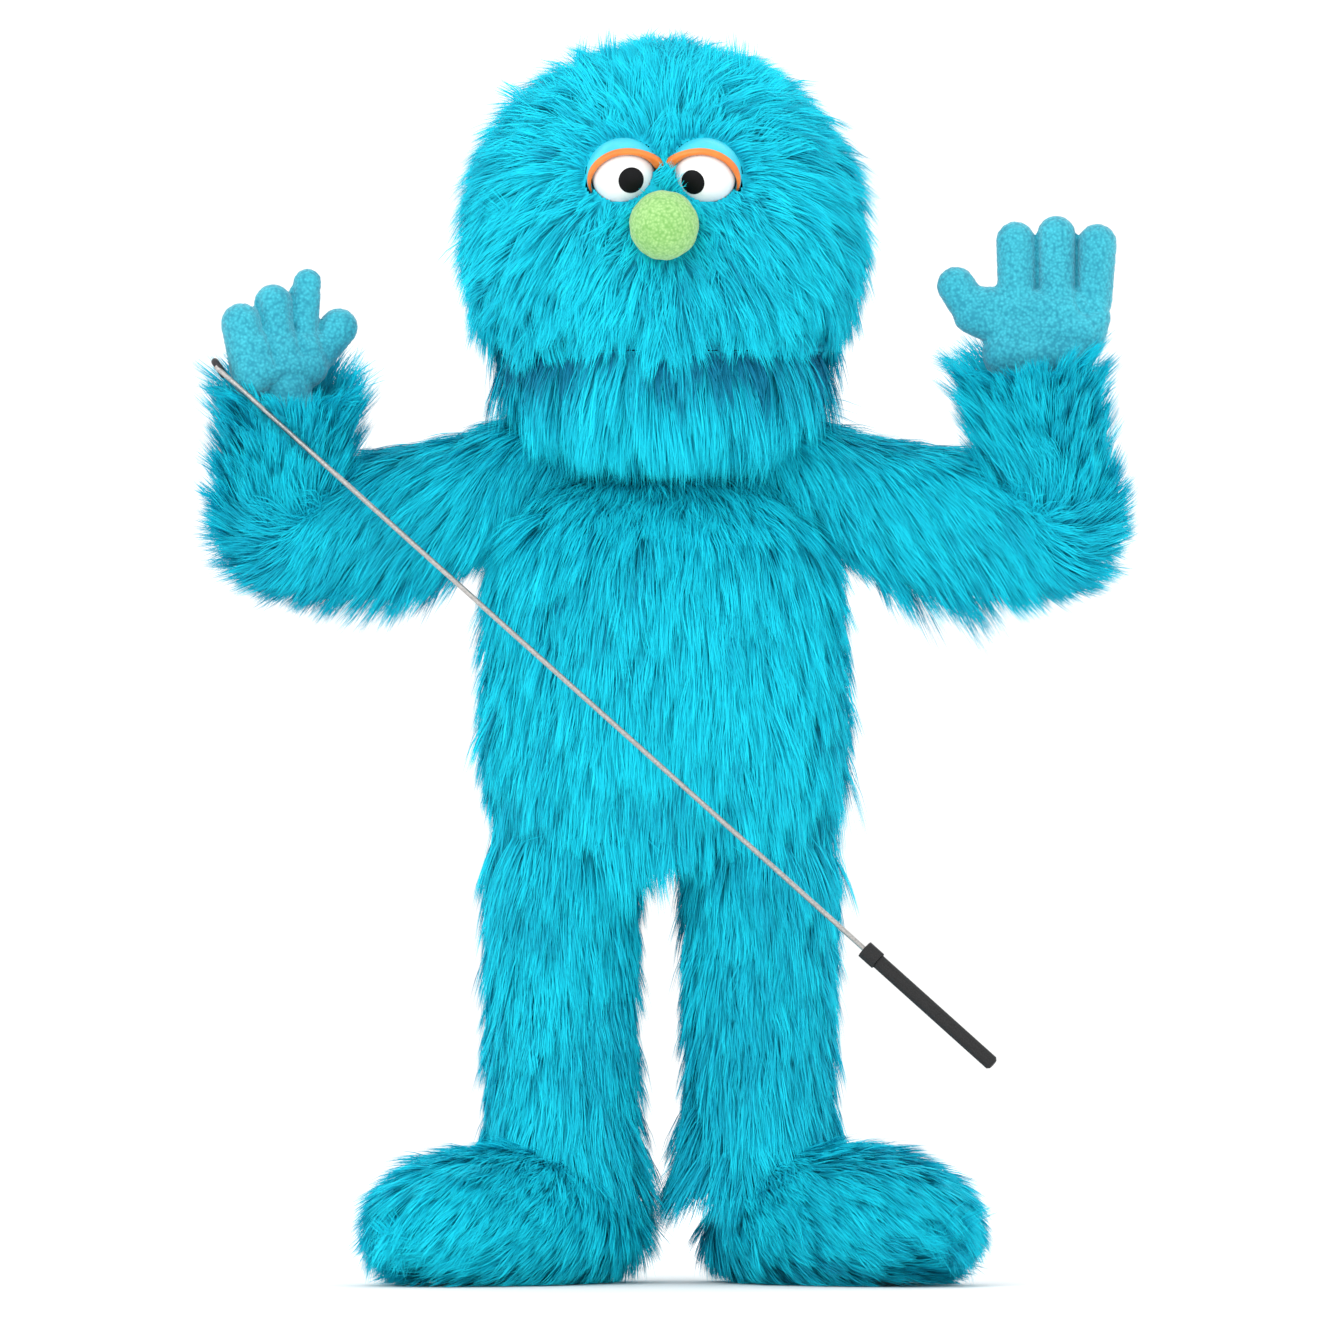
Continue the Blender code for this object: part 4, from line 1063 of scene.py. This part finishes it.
def puffed(side, out):
    """A stuffed hand: lobes joined into one skin, filled out a little by a cloth simulation."""
    mesh = bmesh.new()
    for *ends, radius in LOBES[side]:
        start, end = (JOINTS["wrist_" + side] + np.array((x * out, -y, z)) for x, y, z in ends)
        long = np.linalg.norm(end - start)
        profile = arc(radius, 180, 90, 14) + [(r, h + long) for r, h in arc(radius, 90, 0, 14)]
        lobe = lathe("lobe", profile, start, unit(end - start), "fleece", 40)
        mesh.from_mesh(lobe.data)
        bpy.data.objects.remove(lobe)
    made = from_bmesh("fleece_hand_" + side, mesh, "fleece")
    remesh = made.modifiers.new("remesh", "REMESH")
    remesh.mode = "VOXEL"
    remesh.voxel_size = HAND_VOXEL
    made.modifiers.new("even", "SMOOTH").iterations = 2
    apply_all(made)
    inflate(made)
    made.data.materials.clear()
    made.data.materials.append(MATERIALS["fleece"])
    made.data.polygons.foreach_set("use_smooth", [True] * len(made.data.polygons))
    return made


def inflate(thing):
    """Cloth under pressure, its movement held to HAND_CAP so that the fingers stay apart."""
    before = [v.co.copy() for v in thing.data.vertices]
    cloth = thing.modifiers.new("cloth", "CLOTH")
    cloth.settings.use_pressure = True
    cloth.settings.uniform_pressure_force = HAND_PRESSURE
    cloth.settings.effector_weights.gravity = 0
    cloth.settings.quality = 5
    for number in range(1, HAND_FRAMES + 1):
        bpy.context.scene.frame_set(number)
    apply_all(thing)
    bpy.context.scene.frame_set(1)
    for vertex, old in zip(thing.data.vertices, before):
        moved = vertex.co - old
        if moved.length > HAND_CAP:
            vertex.co = old + moved * (HAND_CAP / moved.length)


def seams(thing, side):
    """Draws the skin in along the hand's stitched lines."""
    mesh = thing.data
    points, normals = array_of(mesh.vertices, "co"), array_of(mesh.vertices, "normal")
    flat = points[:, (0, 2)]
    nearest = np.full(len(points), 1.0)
    for stitch in STITCHES[side]:
        line = np.array([at(x, 0, z)[[0, 2]] for x, z in stitch])
        for a, b in zip(line, line[1:]):
            t = np.clip((flat - a) @ (b - a) / ((b - a) @ (b - a)), 0, 1)
            nearest = np.minimum(nearest, np.linalg.norm(flat - a - t[:, None] * (b - a), axis=1))
    facing = np.clip(np.abs(normals[:, 1]) * 1.4, 0, 1)
    points[:, 1] -= np.sign(normals[:, 1]) * SEAM_DEPTH * np.exp(-(nearest / SEAM_HALF_WIDTH) ** 2) * facing
    mesh.vertices.foreach_set("co", points.ravel())
    mesh.update()


def apply_all(thing):
    """Bakes a piece's modifiers into its mesh."""
    graph = bpy.context.evaluated_depsgraph_get()
    mesh = bpy.data.meshes.new_from_object(thing.evaluated_get(graph))
    thing.modifiers.clear()
    thing.data = mesh


def hands():
    """The fleece hands, each from the wrist where it goes into the cuff."""
    for side, out in SIDES.items():
        made = puffed(side, out)
        seams(made, side)
        lumpy(made, 0.0004, 420)
        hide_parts("hand_" + side)
        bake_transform(made)


# ---- stage ----
def stage():
    """A pale floor, an even studio, three soft lights and a far camera square to the front."""
    bpy.ops.mesh.primitive_plane_add(size=80, location=(0, 0, FLOOR))
    floor = bpy.context.object
    floor.name = "floor"
    paint, _, shader = material("floor_paint", 0.8)
    shader.inputs["Base Color"].default_value = (0.93, 0.93, 0.93, 1)
    floor.data.materials.append(paint)

    bpy.context.scene.view_settings.view_transform = "Standard"
    world = bpy.data.worlds.new("studio")
    bpy.context.scene.world = world
    world.use_nodes = True
    backdrop = world.node_tree.nodes["Background"]
    backdrop.inputs["Color"].default_value = (1, 1, 1, 1)
    backdrop.inputs["Strength"].default_value = 1.12
    for name, place, size, power in (
        ("key", (-1.6, -2.6, 1.7), 2.0, 42),
        ("fill", (2.0, -2.2, 0.8), 2.4, 14),
        ("back", (0.6, 2.4, 1.8), 2.0, 20),
    ):
        light = bpy.data.lights.new(name, "AREA")
        light.size = size
        light.energy = power
        lamp = bpy.data.objects.new(name, light)
        lamp.location = place
        to_puppet = Vector((-place[0], -place[1], -place[2] + 0.05))
        lamp.rotation_euler = to_puppet.to_track_quat("-Z", "Y").to_euler()
        bpy.context.scene.collection.objects.link(lamp)

    data = bpy.data.cameras.new("camera")
    data.lens = 600
    data.sensor_width = 36
    seen_width = 0.8155      # of the plane through the puppet's middle
    camera = bpy.data.objects.new("camera", data)
    aim = at(-0.0009, -0.012, 0.3819)
    camera.location = aim - np.array((0, seen_width * data.lens / data.sensor_width, 0))
    camera.rotation_euler = (math.pi / 2, 0, 0)
    bpy.context.scene.collection.objects.link(camera)
    bpy.context.scene.camera = camera


dress_cad()
stage()
body_fur()
head_fur()
jaw_fur()
neck_fur()
for side, out in SIDES.items():
    arm_fur(side, out)
    leg_fur(side, out)
    foot_fur(side, out)
eyes()
nose()
rod_ring()
hands()
